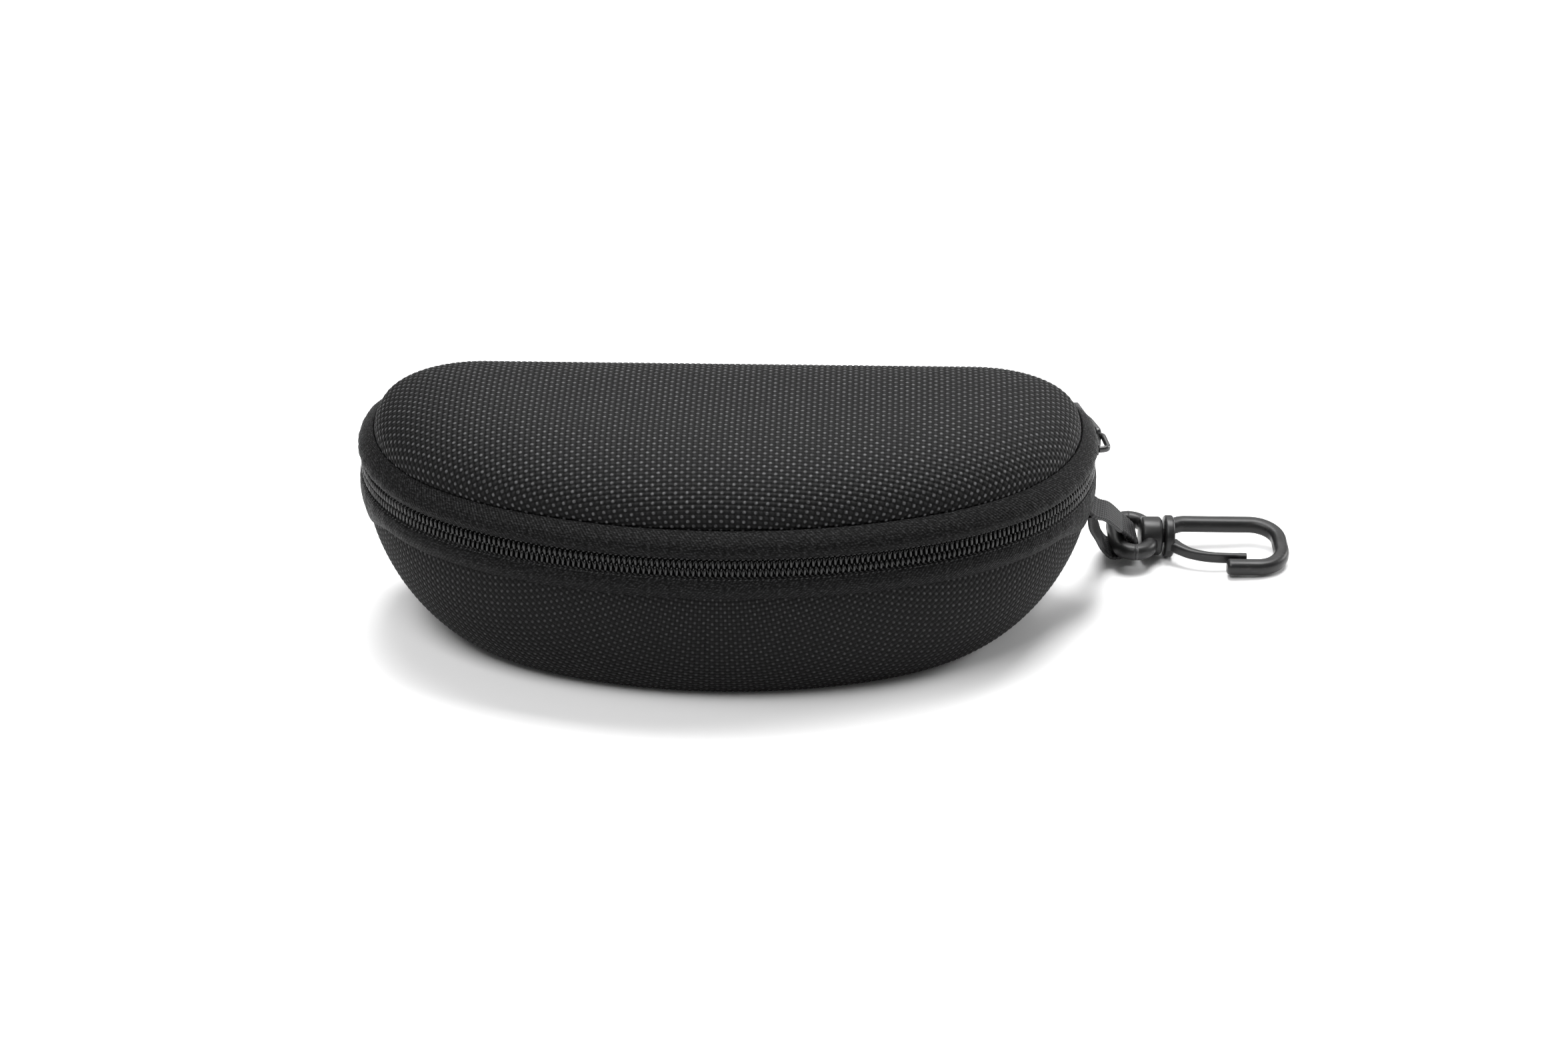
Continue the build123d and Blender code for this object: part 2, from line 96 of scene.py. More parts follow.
# ---- zip slider and pull ----
SLIDER_HEADING = 100.0
SLIDER_OUT = 0.4                        # outer plate from the rim
SLIDER_PLATE_T = 0.8
BRIDGE_RISE = 2.6
PIN_ALONG = 2.3
PULL_DIRECTION = 109.0
PULL_HALF_T = 0.6
PULL_HALF_HEIGHT = 2.4
PULL_LENGTH = 16.0
PULL_OUTLINE_POINTS = 96
BRIDGE_WIRE_R = 0.65
BRIDGE_WIRE_FLAT = 1.23                 # height of the wire's section over its thickness

# ---- webbing loop ----
WEB_W = 9.6
WEB_T = 1.1
WEB_ROOT = Vector((82.0, 13.5, 26.5))
WEB_ROOT_ACROSS = Vector((0.08, 1.0, 0.0))
WEB_TUCK = (-1.6, -0.2, 2.2)    # where the webbing's upper end is sewn in behind the tape
WEB_FROM_ROOT = (           # offset from the root, and share of the turn towards the eye's bar
    ((0.6, 0.0, 0.0), 0.0),
    ((3.4, 4.2, -3.0), 0.1),
    ((6.6, 13.0, -10.0), 0.45),
)
WEB_ROUND_BAR = (           # offset from the middle of the eye's far bar, and the same share
    ((0.2, -3.0, 5.4), 0.9),
    ((2.6, 0.0, 2.1), 1.0),
    ((4.4, 0.0, -0.2), 1.0),
    ((2.4, 0.0, -2.5), 1.0),
    ((-1.2, -0.6, -3.0), 1.0),
    ((-3.4, -3.0, 0.2), 0.9),
)
WEB_BACK_TO_ROOT = (
    ((1.4, 11.5, -11.5), 0.5),
    ((-0.1, 5.0, -5.6), 0.2),
    ((-0.6, 0.0, 0.0), 0.0),
)
WEB_PITCH = 1.05                        # threads of the webbing
WEB_RELIEF = 0.42                       # depth of its weave as a share of half its thickness

# ---- swivel eye and hook, +X along the swivel, origin in the collar ----
HOOK_ORIGIN = (100.6, 42.5, 4.95)
HOOK_YAW = 4.9
HOOK_PITCH = 2.5
HOOK_ROLL = 9.0
EYE_ROLL = 3.0
COLLAR_R = 4.85
COLLAR_T = 2.2
EYE_GAP = 0.5
EYE_BLOCK_LENGTH = 5.0
EYE_BLOCK_R = 4.5
BAR_R = 1.9
EYE_FAR_X = -12.2
EYE_HALF_W = 7.7
STEM_R = 1.6
HOOK_PATH = ((-0.4, 2.9, 0.0), (3.4, 4.8, 4.0), (25.7, 4.8, 6.3), (25.7, -11.8, 6.3), (13.2, -11.8, 0.0))
GATE_PATH = ((0.7, -3.4), (2.4, -5.2), (4.9, -6.95), (9.5, -8.2), (17.2, -8.45))

# ---- dents in the lower shell's front: (x, half width, depth, lowest z, highest z) ----
DENTS = ((-3.0, 0.9, 0.35, 12, 27), (2.5, 0.7, 0.28, 10, 24), (14.0, 1.0, 0.3, 14, 28),
         (-13.0, 1.1, 0.25, 12, 26), (20.5, 0.8, 0.22, 12, 24), (-26.0, 1.2, 0.2, 14, 26))

# ---- lights aimed at the case: name, place and size in metres, and watts ----
LIGHT_TARGET = Vector((0.0, 0.0, 0.03))
LIGHTS = (
    ("overhead_softbox", (0.15, 0.45, 1.45), (1.1, 0.8), 37.0),
    ("front_fill", (-0.55, -0.75, 1.6), (1.4, 0.9), 26.0),
    ("back_softbox", (0.3, 1.5, 0.85), (1.6, 0.4), 5.0),
    ("right_softbox", (1.3, 0.6, 0.5), (0.6, 0.5), 11.0),
)
WORLD_STRENGTH = 0.25

# ---- camera ----
CAMERA_TARGET = Vector((13.49, -16.06, 37.0))
CAMERA_DISTANCE = 1091.0
CAMERA_ELEVATION = 27.0
CAMERA_TURN = 1.6
CAMERA_LENS = 114.8


# ------------------------------------------------------------------ rim geometry
def rim_arcs():
    """Right-hand arcs of the rim as (centre x, centre y, radius, start heading, end heading)."""
    x, y, heading = 0.0, RIM_FRONT_Y, 0.0
    arcs = []
    for radius, turn in RIM_ARCS:
        cx = x - radius * math.sin(heading)
        cy = y + radius * math.cos(heading)
        end = heading + math.radians(turn)
        arcs.append((cx, cy, radius, heading, end))
        x, y, heading = cx + radius * math.sin(end), cy - radius * math.cos(end), end
    return arcs


ARCS = rim_arcs()
ARC_ENDS = np.cumsum([radius * (end - start) for _, _, radius, start, end in ARCS])
CORNER_X = ARCS[-1][0]
BACK_Y = ARCS[-1][1] + ARCS[-1][2]
HALF_WIDTH = ARCS[SLIDE_ARC][0] + ARCS[SLIDE_ARC][2]
DEPTH = BACK_Y - RIM_FRONT_Y
HALF_RIM = ARC_ENDS[-1] + CORNER_X


def rim_at(s):
    """Points and outward directions on the rim, at lengths s from the front centre, + to the right."""
    s = (np.asarray(s, float) + HALF_RIM) % (2 * HALF_RIM) - HALF_RIM
    length, side = np.abs(s), np.where(s < 0, -1.0, 1.0)
    x, y = CORNER_X - (length - ARC_ENDS[-1]), np.full_like(length, BACK_Y)
    heading = np.full_like(length, math.pi)
    start = 0.0
    for (cx, cy, radius, first, _), end in zip(ARCS, ARC_ENDS):
        on = (length >= start) & (length <= end)
        turn = first + (length - start) / radius
        x = np.where(on, cx + radius * np.sin(turn), x)
        y = np.where(on, cy - radius * np.cos(turn), y)
        heading = np.where(on, turn, heading)
        start = end
    return np.stack([side * x, y], -1), np.stack([side * np.sin(heading), -np.cos(heading)], -1)


def rim_points(s, offset, z):
    """3-D points at rim lengths s, moved inward by offset, at height z over the parting plane."""
    at, out = rim_at(s)
    s, offset, z = np.broadcast_arrays(s, offset, z)
    xy = at - out * offset[..., None]
    return np.concatenate([xy, (PARTING_Z + z)[..., None]], -1)


def shell_size(upper):
    """Inset, rounding, power, groove height and signed rise of a shell's outer surface."""
    if upper:
        return UPPER_INSET, UPPER_ROUND, UPPER_POWER, PARTING_Z + UPPER_GROOVE, UPPER_RISE
    groove = PARTING_Z - LOWER_GROOVE
    return LOWER_INSET, LOWER_ROUND, LOWER_POWER, groove, -groove


# ------------------------------------------------------------------ mesh helpers
def new_object(name, points, faces, closed=False):
    """Smooth mesh object from points in millimetres. The faces of a closed one are turned outwards."""
    mesh = bpy.data.meshes.new(name)
    mesh.from_pydata((np.asarray(points, float) * MM).tolist(), [], faces)
    mesh.validate()
    if closed:
        work = bmesh.new()
        work.from_mesh(mesh)
        bmesh.ops.recalc_face_normals(work, faces=work.faces)
        work.to_mesh(mesh)
        work.free()
    mesh.shade_smooth()
    obj = bpy.data.objects.new(name, mesh)
    bpy.context.scene.collection.objects.link(obj)
    return obj


def unit(vectors):
    """Vectors scaled to length 1 along their last axis."""
    return vectors / np.linalg.norm(vectors, axis=-1, keepdims=True)


def set_attribute(obj, name, values):
    """Stores one number or one vector for each point."""
    values = np.asarray(values, float)
    kind, key = ("FLOAT", "value") if values.ndim == 1 else ("FLOAT_VECTOR", "vector")
    layer = obj.data.attributes.new(name, kind, "POINT")
    layer.data.foreach_set(key, values.ravel())


def grid_faces(rows, columns, wrap_rows=False, wrap_columns=False, flip=False):
    """Quads of a grid of points stored row by row, as an array of shape (rows, columns, 4)."""
    r = np.arange(rows if wrap_rows else rows - 1)[:, None]
    c = np.arange(columns if wrap_columns else columns - 1)[None, :]
    r2, c2 = (r + 1) % rows, (c + 1) % columns
    corners = [r * columns + c, r * columns + c2, r2 * columns + c2, r2 * columns + c]
    if flip:
        corners.reverse()
    return np.stack(np.broadcast_arrays(*corners), -1)


def grid_object(name, points, keep=None, attributes=None, caps=False, **grid):
    """Object from a (rows, columns, 3) array of points. keep marks the quads that stay."""
    rows, columns = points.shape[:2]
    quads = grid_faces(rows, columns, **grid)
    quads = quads[keep] if keep is not None else quads.reshape(-1, 4)
    used, quads = np.unique(quads, return_inverse=True)
    faces = quads.reshape(-1, 4).tolist()
    if caps:
        faces.append([(rows - 1) * columns + k for k in range(columns)])
        faces.append(list(reversed(range(columns))))
    closed = caps or (grid.get("wrap_rows") and grid.get("wrap_columns"))
    obj = new_object(name, points.reshape(-1, 3)[used], faces, closed)
    for key, values in (attributes or {}).items():
        flat = values.reshape(rows * columns, -1)[used]
        set_attribute(obj, key, flat[:, 0] if flat.shape[1] == 1 else flat)
    return obj


def joined(name, parts):
    """One object from several; the first keeps its place and takes the name."""
    bpy.ops.object.select_all(action="DESELECT")
    for part in parts:
        part.select_set(True)
    bpy.context.view_layer.objects.active = parts[0]
    bpy.ops.object.join()
    parts[0].name = name
    parts[0].data.name = name
    return parts[0]


def place(obj, matrix):
    """Moves the mesh itself, by a matrix in millimetres, so that the object stays at the origin."""
    metres = Matrix(matrix)
    metres.translation = metres.translation * MM
    obj.data.transform(metres)
    obj.data.update()
    return obj


def finish_piece(obj, body, material, nodes=()):
    """Gives a piece its material and body, and hides the CAD nodes that it stands for."""
    obj.data.materials.clear()
    obj.data.materials.append(material)
    if nodes:
        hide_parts(*nodes)
    if body:
        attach(obj, body)
    return obj


def round_path(corners, step=0.35):
    """Flat path through (x, y, radius) corners, with tangent arcs, as evenly spaced points."""
    path = [Vector(corners[0][:2])]
    for before, (x, y, radius), after in zip(corners, corners[1:-1], corners[2:]):
        corner = Vector((x, y))
        back = (Vector(before[:2]) - corner).normalized()
        ahead = (Vector(after[:2]) - corner).normalized()
        half = back.angle(ahead) / 2
        reach = radius / math.tan(half)
        centre = corner + (back + ahead).normalized() * radius / math.sin(half)
        start, end = corner + back * reach - centre, corner + ahead * reach - centre
        turn = start.angle_signed(end)
        count = max(4, round(abs(turn) * radius / step))
        path += [centre + Matrix.Rotation(-turn * k / count, 2) @ start for k in range(count + 1)]
    path.append(Vector(corners[-1][:2]))
    return resampled(np.array(path), step)


def path_lengths(points):
    """Length along a polyline at each of its points."""
    return np.concatenate([[0], np.cumsum(np.linalg.norm(np.diff(points, axis=0), axis=1))])


def resampled(points, step, axes=None):
    """Rows about one step apart, measured along the polyline of their first axes columns."""
    lengths = path_lengths(points[:, :axes])
    at = np.linspace(0, lengths[-1], max(2, round(lengths[-1] / step) + 1))
    return np.stack([np.interp(at, lengths, points[:, k]) for k in range(points.shape[1])], -1)


def smooth_curve(points, per_span=12):
    """Catmull-Rom curve through 3-D points."""
    p = np.asarray(points, float)
    p = np.concatenate([2 * p[:1] - p[1:2], p, 2 * p[-1:] - p[-2:-1]])
    t = np.linspace(0, 1, per_span, endpoint=False)[:, None]
    spans = []
    for a, b, c, d in zip(p, p[1:], p[2:], p[3:]):
        spans.append(0.5 * (2 * b + (c - a) * t + (2 * a - 5 * b + 4 * c - d) * t**2
                            + (3 * b - a - 3 * c + d) * t**3))
    return np.concatenate(spans + [p[-2:-1]])


def bar_section(radius, sides=28, squareness=2.5, ridge=0.0):
    """Moulded bar section: a soft square, with a thin mould ridge on the left and right."""
    angle = np.arange(sides) * 2 * math.pi / sides
    c, s = np.cos(angle), np.sin(angle)
    size = (np.abs(c) ** squareness + np.abs(s) ** squareness) ** (-1 / squareness)
    size = size / size.max() * (1 + ridge * (np.abs(s) < 0.1))
    return np.stack([radius * size * c, radius * size * s], -1)


def flat_sweep(name, path, section, round_end=False):
    """Bar along a flat path. The section is (sideways, up); the far end can be rounded over."""
    tangent = unit(np.gradient(path, axis=0))
    scale = np.ones(len(path))
    if round_end:
        dome = np.linspace(0.5, 0.08, 6) * math.pi
        reach = np.abs(section).max() * 0.5 * np.cos(dome)
        path = np.concatenate([path[:-1], path[-1] + tangent[-1] * reach[:, None]])
        scale = np.concatenate([scale[:-1], 0.55 + 0.45 * np.sin(dome)])
        tangent = np.concatenate([tangent[:-1], np.repeat(tangent[-1:], len(dome), 0)])
    side = np.stack([-tangent[:, 1], tangent[:, 0]], -1)
    xy = path[:, None] + side[:, None] * (section[None, :, :1] * scale[:, None, None])
    z = section[None, :, 1:] * scale[:, None, None]
    points = np.concatenate([xy, np.broadcast_to(z, xy.shape[:2] + (1,))], -1)
    return grid_object(name, points, wrap_columns=True, caps=True)


def lathe(name, profile, sides=56):
    """Turned solid round the X axis from (x, radius) points, first and last on the axis side."""
    angle = np.arange(sides) * 2 * math.pi / sides
    x, r = np.array(profile, float).T
    points = np.stack([
        np.broadcast_to(x[:, None], (len(x), sides)),
        r[:, None] * np.cos(angle),
        r[:, None] * np.sin(angle),
    ], -1)
    return grid_object(name, points, wrap_columns=True, caps=True)


def rounded_profile(x0, x1, radius, edge, inner):
    """Lathe profile of a disc with rounded edges, from an inner radius out and back."""
    turn = np.linspace(0, math.pi / 2, 6)
    left = [(x0 + edge * (1 - math.cos(t)), radius - edge * (1 - math.sin(t))) for t in turn]
    right = [(x1 - edge * (1 - math.cos(t)), radius - edge * (1 - math.sin(t))) for t in turn[::-1]]
    return [(x0, inner)] + left + right + [(x1, inner)]


def tube(points, radius, sides=6):
    """Rows of points of a round tube along a 3-D path, for grid_object."""
    tangent = unit(np.gradient(points, axis=0))
    normal = np.zeros_like(points)
    seed = Vector(tangent[0]).orthogonal().normalized()
    for k, along in enumerate(tangent):
        along = Vector(along)
        seed = (seed - along * seed.dot(along)).normalized()
        normal[k] = seed
    other = np.cross(tangent, normal)
    angle = np.arange(sides) * 2 * math.pi / sides
    radius = np.broadcast_to(radius, len(points))[:, None, None]
    ring = normal[:, None] * np.cos(angle)[None, :, None] + other[:, None] * np.sin(angle)[None, :, None]
    return points[:, None] + ring * radius


def capsules(name, centres, directions, length, radius, sides=6):
    """Many short round-ended threads in one mesh."""
    along = np.array((-0.5, -0.42, -0.25, 0.0, 0.25, 0.42, 0.5)) * length
    swell = np.array((0.3, 0.8, 1.0, 1.0, 1.0, 0.8, 0.3)) * radius
    points, faces = [], []
    quads = grid_faces(len(along), sides, wrap_columns=True).reshape(-1, 4)
    for k, (centre, direction) in enumerate(zip(centres, directions)):
        path = centre + direction * along[:, None]
        points.append(tube(path, swell, sides).reshape(-1, 3))
        base = k * len(along) * sides
        faces += (quads + base).tolist()
        faces.append([base + (len(along) - 1) * sides + i for i in range(sides)])
        faces.append([base + i for i in reversed(range(sides))])
    return new_object(name, np.concatenate(points), faces, closed=True)


# ------------------------------------------------------------------ weave
def plain_weave(u, v):
    """Height of a plain weave, 0 to 1, where u counts warp threads and v weft threads."""
    swing = 1 - WEAVE_ROUND
    warp_parity = 1 - 2 * (np.floor(u) % 2)
    weft_parity = 1 - 2 * (np.floor(v) % 2)
    across_warp = np.sqrt(np.clip(1 - (2 * (u % 1) - 1) ** 2, 0, 1))
    across_weft = np.sqrt(np.clip(1 - (2 * (v % 1) - 1) ** 2, 0, 1))
    warp = WEAVE_ROUND * across_warp + swing * np.sin(math.pi * v) * warp_parity
    weft = WEAVE_ROUND * across_weft - swing * np.sin(math.pi * u) * weft_parity
    return np.maximum(warp, weft)


def shell_walls(upper, depth, outline=420, steps=90, spacing=0.25):
    """Walls of a shell, as the crown's edge, the outward plan directions, the wall lengths and a
    table of wall points at even lengths down from the crown."""
    inset, rounding, power, groove, rise = shell_size(upper)
    sign = math.copysign(1, rise)
    rise -= sign * depth
    s = np.linspace(-HALF_RIM, HALF_RIM, outline, endpoint=False)
    rim, _ = rim_at(s)
    t = np.radians(np.linspace(90, 0, steps))
    climb = np.sin(t) ** (2 / power)
    turn_in = 1 - np.cos(t) ** (2 / power)
    turn_in[0] = 1.0
    front, side, back = (inset + depth + r * turn_in for r in rounding)
    x = rim[:, None, 0] * (HALF_WIDTH - side) / HALF_WIDTH
    y = RIM_FRONT_Y + front + (rim[:, None, 1] - RIM_FRONT_Y) * (DEPTH - front - back) / DEPTH
    z = np.broadcast_to(groove + rise * climb, x.shape)
    walls = np.stack([x, y, z], -1)
    _, out = rim_at(s)
    end = walls[:, -1]
    tuck = np.concatenate([-out * 0.55, np.full((outline, 1), -sign * 1.2)], -1)
    walls = np.concatenate([walls, (end + tuck)[:, None], (end + 3 * tuck)[:, None]], 1)
    pieces = np.linalg.norm(np.diff(walls, axis=1), axis=2)
    lengths = np.concatenate([np.zeros((outline, 1)), np.cumsum(pieces, axis=1)], 1)
    even = np.arange(0, lengths[:, -1].max() + spacing, spacing)
    table = np.stack([
        np.stack([np.interp(even, lengths[k], walls[k, :, axis]) for axis in range(3)], -1)
        for k in range(outline)
    ])
    crown = walls[:, 0, :2]
    outward = unit(end[:, :2] - crown)
    return crown, outward, lengths[:, -3], table, even


def shell_surface(upper, depth, cloth_points):
    """Lays flat cloth points (n, 2) over a shell. Returns 3-D points and how far each one is past
    the groove, negative on the shell."""
    crown, outward, wall_length, table, even = shell_walls(upper, depth)
    count = len(crown)
    following = np.roll(np.arange(count), -1)
    surface = np.empty((len(cloth_points), 3))
    surface[:, :2] = cloth_points
    surface[:, 2] = table[:, 0, 2].mean()
    past = np.full(len(cloth_points), -1.0)
    chunk = 20000
    for first in range(0, len(cloth_points), chunk):
        p = cloth_points[first:first + chunk]
        shift_x = p[:, None, 0] - crown[None, :, 0]
        shift_y = p[:, None, 1] - crown[None, :, 1]
        turn = outward[:, 0] * shift_y - outward[:, 1] * shift_x
        ahead = outward[:, 0] * shift_x + outward[:, 1] * shift_y
        hit = (turn >= 0) & (turn[:, following] < 0) & (ahead > -0.5)
        row = np.nonzero(hit.any(1))[0]
        k = hit[row].argmax(1)
        n = following[k]
        share = turn[row, k] / (turn[row, k] - turn[row, n])
        length = ahead[row, k] * (1 - share) + ahead[row, n] * share
        outside = length > 0
        row, k, n, share, length = (a[outside] for a in (row, k, n, share, length))
        spot = np.clip(length / (even[1] - even[0]), 0, len(even) - 1.001)
        low = spot.astype(int)
        part = (spot - low)[:, None]
        near = table[k, low] * (1 - part) + table[k, low + 1] * part
        far = table[n, low] * (1 - part) + table[n, low + 1] * part
        surface[first + row] = near * (1 - share)[:, None] + far * share[:, None]
        past[first + row] = length - (wall_length[k] * (1 - share) + wall_length[n] * share)
    return surface, past


def shell_cloth(name, upper, depth, pitch, steps, relief_depth, inward=False, dents=()):
    """Woven sheet over a shell, with its threads running straight in X and Y on the flat cloth."""
    half = np.array((HALF_WIDTH + 18, DEPTH / 2 + 24))
    centre_y = (BACK_Y + RIM_FRONT_Y) / 2
    counts = np.ceil(half / np.array(pitch)).astype(int)
    u = np.arange(-counts[0] * steps, counts[0] * steps + 1) / steps
    v = np.arange(-counts[1] * steps, counts[1] * steps + 1) / steps
    grid_u, grid_v = np.meshgrid(u, v)
    cloth = np.stack([grid_u * pitch[0], centre_y + grid_v * pitch[1]], -1)
    surface, past = shell_surface(upper, depth, cloth.reshape(-1, 2))
    surface = surface.reshape(cloth.shape[:2] + (3,))
    past = past.reshape(cloth.shape[:2])
    normal = np.cross(np.gradient(surface, axis=1), np.gradient(surface, axis=0))
    normal /= np.maximum(np.linalg.norm(normal, axis=2, keepdims=True), 1e-9)
    if upper == inward:
        normal = -normal
    relief = plain_weave(grid_u, grid_v)
    sunk = relief_depth * (1 - relief)
    x, y, z = np.moveaxis(surface, -1, 0)
    for dent_x, width, deep, low_z, high_z in dents:
        window = np.clip((z - low_z) / 4, 0, 1) * np.clip((high_z - z) / 4, 0, 1)
        sunk = sunk + (y < 0) * window * deep * np.exp(-(((x - dent_x) / width) ** 2))
    surface = surface - normal * sunk[..., None]
    kept = past <= TUCK
    keep = kept[:-1, :-1] & kept[1:, :-1] & kept[:-1, 1:] & kept[1:, 1:]
    place_on_cloth = np.stack([grid_u, grid_v, np.zeros_like(grid_u)], -1)
    attributes = {"cloth": place_on_cloth, "relief": relief}
    return grid_object(name, surface, keep, attributes, flip=(upper == inward))


# ------------------------------------------------------------------ materials
class Shader:
    """Small helper that builds one node material on a Principled shader."""

    def __init__(self, name, colour, roughness, **constant):
        self.material = bpy.data.materials.new(name)
        self.material.use_nodes = True
        self.tree = self.material.node_tree
        self.surface = self.tree.nodes["Principled BSDF"]
        self.surface.inputs["Base Color"].default_value = (*colour, 1)
        self.surface.inputs["Roughness"].default_value = roughness
        for key, value in constant.items():
            self.surface.inputs[key.replace("_", " ")].default_value = value

    def add(self, kind, inputs=None, **settings):
        node = self.tree.nodes.new(kind)
        for key, value in settings.items():
            setattr(node, key, value)
        for key, value in (inputs or {}).items():
            self.put(node.inputs[key], value)
        return node

    def put(self, socket, value):
        if isinstance(value, bpy.types.NodeSocket):
            self.tree.links.new(value, socket)
        else:
            socket.default_value = value

    def math(self, operation, *values):
        return self.add("ShaderNodeMath", dict(enumerate(values)), operation=operation).outputs[0]

    def attribute(self, name, output="Vector"):
        return self.add("ShaderNodeAttribute", attribute_name=name).outputs[output]

    def axes(self, vector):
        node = self.add("ShaderNodeSeparateXYZ", {"Vector": vector})
        return node.outputs["X"], node.outputs["Y"], node.outputs["Z"]

    def position(self):
        return self.add("ShaderNodeTexCoord").outputs["Object"]

    def scaled(self, vector, scale):
        node = self.add("ShaderNodeMapping", {"Vector": vector, "Scale": scale})
        return node.outputs["Vector"]

    def noise(self, vector, scale, detail=2.0, roughness=0.5):
        inputs = {"Vector": vector, "Scale": scale, "Detail": detail, "Roughness": roughness}
        return self.add("ShaderNodeTexNoise", inputs).outputs["Fac"]

    def spread(self, value, low, high, to_low, to_high):
        inputs = {"Value": value, "From Min": low, "From Max": high, "To Min": to_low, "To Max": to_high}
        return self.add("ShaderNodeMapRange", inputs).outputs["Result"]

    def mix(self, factor, first, second):
        node = self.add("ShaderNodeMix", data_type="RGBA")
        self.put(node.inputs["Factor"], factor)
        self.put(node.inputs["A"], (*first, 1) if isinstance(first, tuple) else first)
        self.put(node.inputs["B"], (*second, 1) if isinstance(second, tuple) else second)
        return node.outputs["Result"]

    def colour(self, value):
        self.put(self.surface.inputs["Base Color"], value)

    def rough(self, value):
        self.put(self.surface.inputs["Roughness"], value)

    def bump(self, height, strength, distance):
        inputs = {"Height": height, "Strength": strength, "Distance": distance}
        node = self.add("ShaderNodeBump", inputs)
        self.put(self.surface.inputs["Normal"], node.outputs["Normal"])


def grey(value):
    return (value, value, value * 1.03)


def ballistic_material(name, painted_glint_grey):
    """Coarse nylon: floats across the width shinier and painted brighter as painted glints, duller ones
    along it, and gaps painted nearly black as painted shade.
    """
    shader = Shader(name, grey(0.012), 0.45, Specular_IOR_Level=0.12)
    relief = shader.attribute("relief", "Fac")
    cloth = shader.attribute("cloth")
    u, v, _ = shader.axes(cloth)
    filament_u = shader.math("SINE", shader.math("MULTIPLY", u, 2 * math.pi * 7))
    filament_v = shader.math("SINE", shader.math("MULTIPLY", v, 2 * math.pi * 6))
    cell = shader.math("ADD", shader.math("FLOOR", u), shader.math("FLOOR", v))
    weft = shader.math("PINGPONG", cell, 1)
    filament = shader.add("ShaderNodeMix", {"Factor": weft}, data_type="FLOAT")
    shader.put(filament.inputs["A"], filament_u)
    shader.put(filament.inputs["B"], filament_v)
    patches = shader.noise(cloth, 0.11, 3.0)
    thread_tone = shader.noise(cloth, 1.7, 1.0)
    # The colour paints light and shade: float crowns painted light, low weave painted near black as
    # painted shade, and one float direction painted brighter as painted glints; thread_tone and patches
    # are random tone.
    high = shader.spread(relief, 0.7, 1.0, 0.0, 1.0)
    tone = shader.math("MULTIPLY", high, shader.spread(thread_tone, 0.35, 0.65, 0.4, 1.0))
    tone = shader.math("MULTIPLY", tone, shader.spread(patches, 0.3, 0.7, 0.8, 1.0))
    tone = shader.math("MULTIPLY", tone, shader.spread(weft, 0.0, 1.0, 0.1, 1.0))
    shader.colour(shader.mix(tone, grey(0.002), grey(painted_glint_grey)))
    gloss = shader.math("MULTIPLY", tone, shader.spread(thread_tone, 0.3, 0.7, 0.75, 1.0))
    shader.rough(shader.spread(gloss, 0.0, 1.0, 0.62, 0.3))
    height = shader.math("MULTIPLY_ADD", filament.outputs["Result"], 0.05, relief)
    shader.bump(height, 0.5, 0.00015)
    return shader.material


def tape_material():
    """Twill zip tape: short slanting floats along the rim, catching light in flecks."""
    shader = Shader("zip_tape_twill", grey(0.009), 0.5, Specular_IOR_Level=0.08)
    cloth = shader.attribute("cloth")
    u, v, _ = shader.axes(cloth)
    slant = shader.math("MULTIPLY_ADD", v, 0.8, u)
    ribs = shader.math("SINE", shader.math("MULTIPLY", slant, 2 * math.pi / 0.8))
    floats = shader.noise(shader.scaled(cloth, (1.1, 2.8, 1.0)), 1.0, 3.0, 0.6)
    fleck = shader.spread(floats, 0.46, 0.66, 0.0, 1.0)
    tone = shader.math("MULTIPLY", shader.spread(ribs, -1.0, 1.0, 0.35, 1.0), fleck)
    shader.colour(shader.mix(tone, grey(0.0008), grey(0.026)))
    shader.rough(shader.spread(tone, 0.0, 1.0, 0.62, 0.4))
    shader.bump(shader.math("MULTIPLY_ADD", ribs, 0.25, floats), 0.8, 0.00015)
    return shader.material


def coil_material():
    """Glossy nylon monofilament."""
    shader = Shader("zip_coil_nylon", grey(0.01), 0.24, Specular_IOR_Level=0.4)
    noise = shader.noise(shader.position(), 900.0)
    shader.rough(shader.spread(noise, 0.3, 0.7, 0.18, 0.32))
    shader.colour(shader.mix(noise, grey(0.002), grey(0.008)))
    return shader.material


def thread_material():
    """Twisted sewing thread."""
    shader = Shader("sewing_thread", grey(0.012), 0.55, Specular_IOR_Level=0.4)
    x, y, z = shader.axes(shader.position())
    slant = shader.math("ADD", x, shader.math("ADD", y, z))
    twist = shader.math("SINE", shader.math("MULTIPLY", slant, 2 * math.pi / 0.00035))
    shader.colour(shader.mix(shader.spread(twist, -1, 1, 0, 1), grey(0.006), grey(0.02)))
    shader.bump(twist, 0.4, 0.00005)
    return shader.material


def lining_material():
    """Brushed tricot lining with a soft nap."""
    shader = Shader("tricot_lining", grey(0.03), 0.85, Specular_IOR_Level=0.2, Sheen_Weight=0.35,
                    Sheen_Roughness=0.4)
    cloth = shader.attribute("cloth")
    u, v, _ = shader.axes(cloth)
    wales = shader.math("SINE", shader.math("MULTIPLY", u, 2 * math.pi * 2))
    courses = shader.math("SINE", shader.math("MULTIPLY", v, 2 * math.pi * 2))
    nap = shader.noise(cloth, 2.2, 4.0, 0.65)
    ribs = [shader.math("MULTIPLY", rib, 0.12) for rib in (wales, courses)]
    height = shader.math("ADD", shader.math("ADD", *ribs), nap)
    shader.colour(shader.mix(nap, grey(0.016), grey(0.05)))
    shader.bump(height, 0.5, 0.00015)
    return shader.material


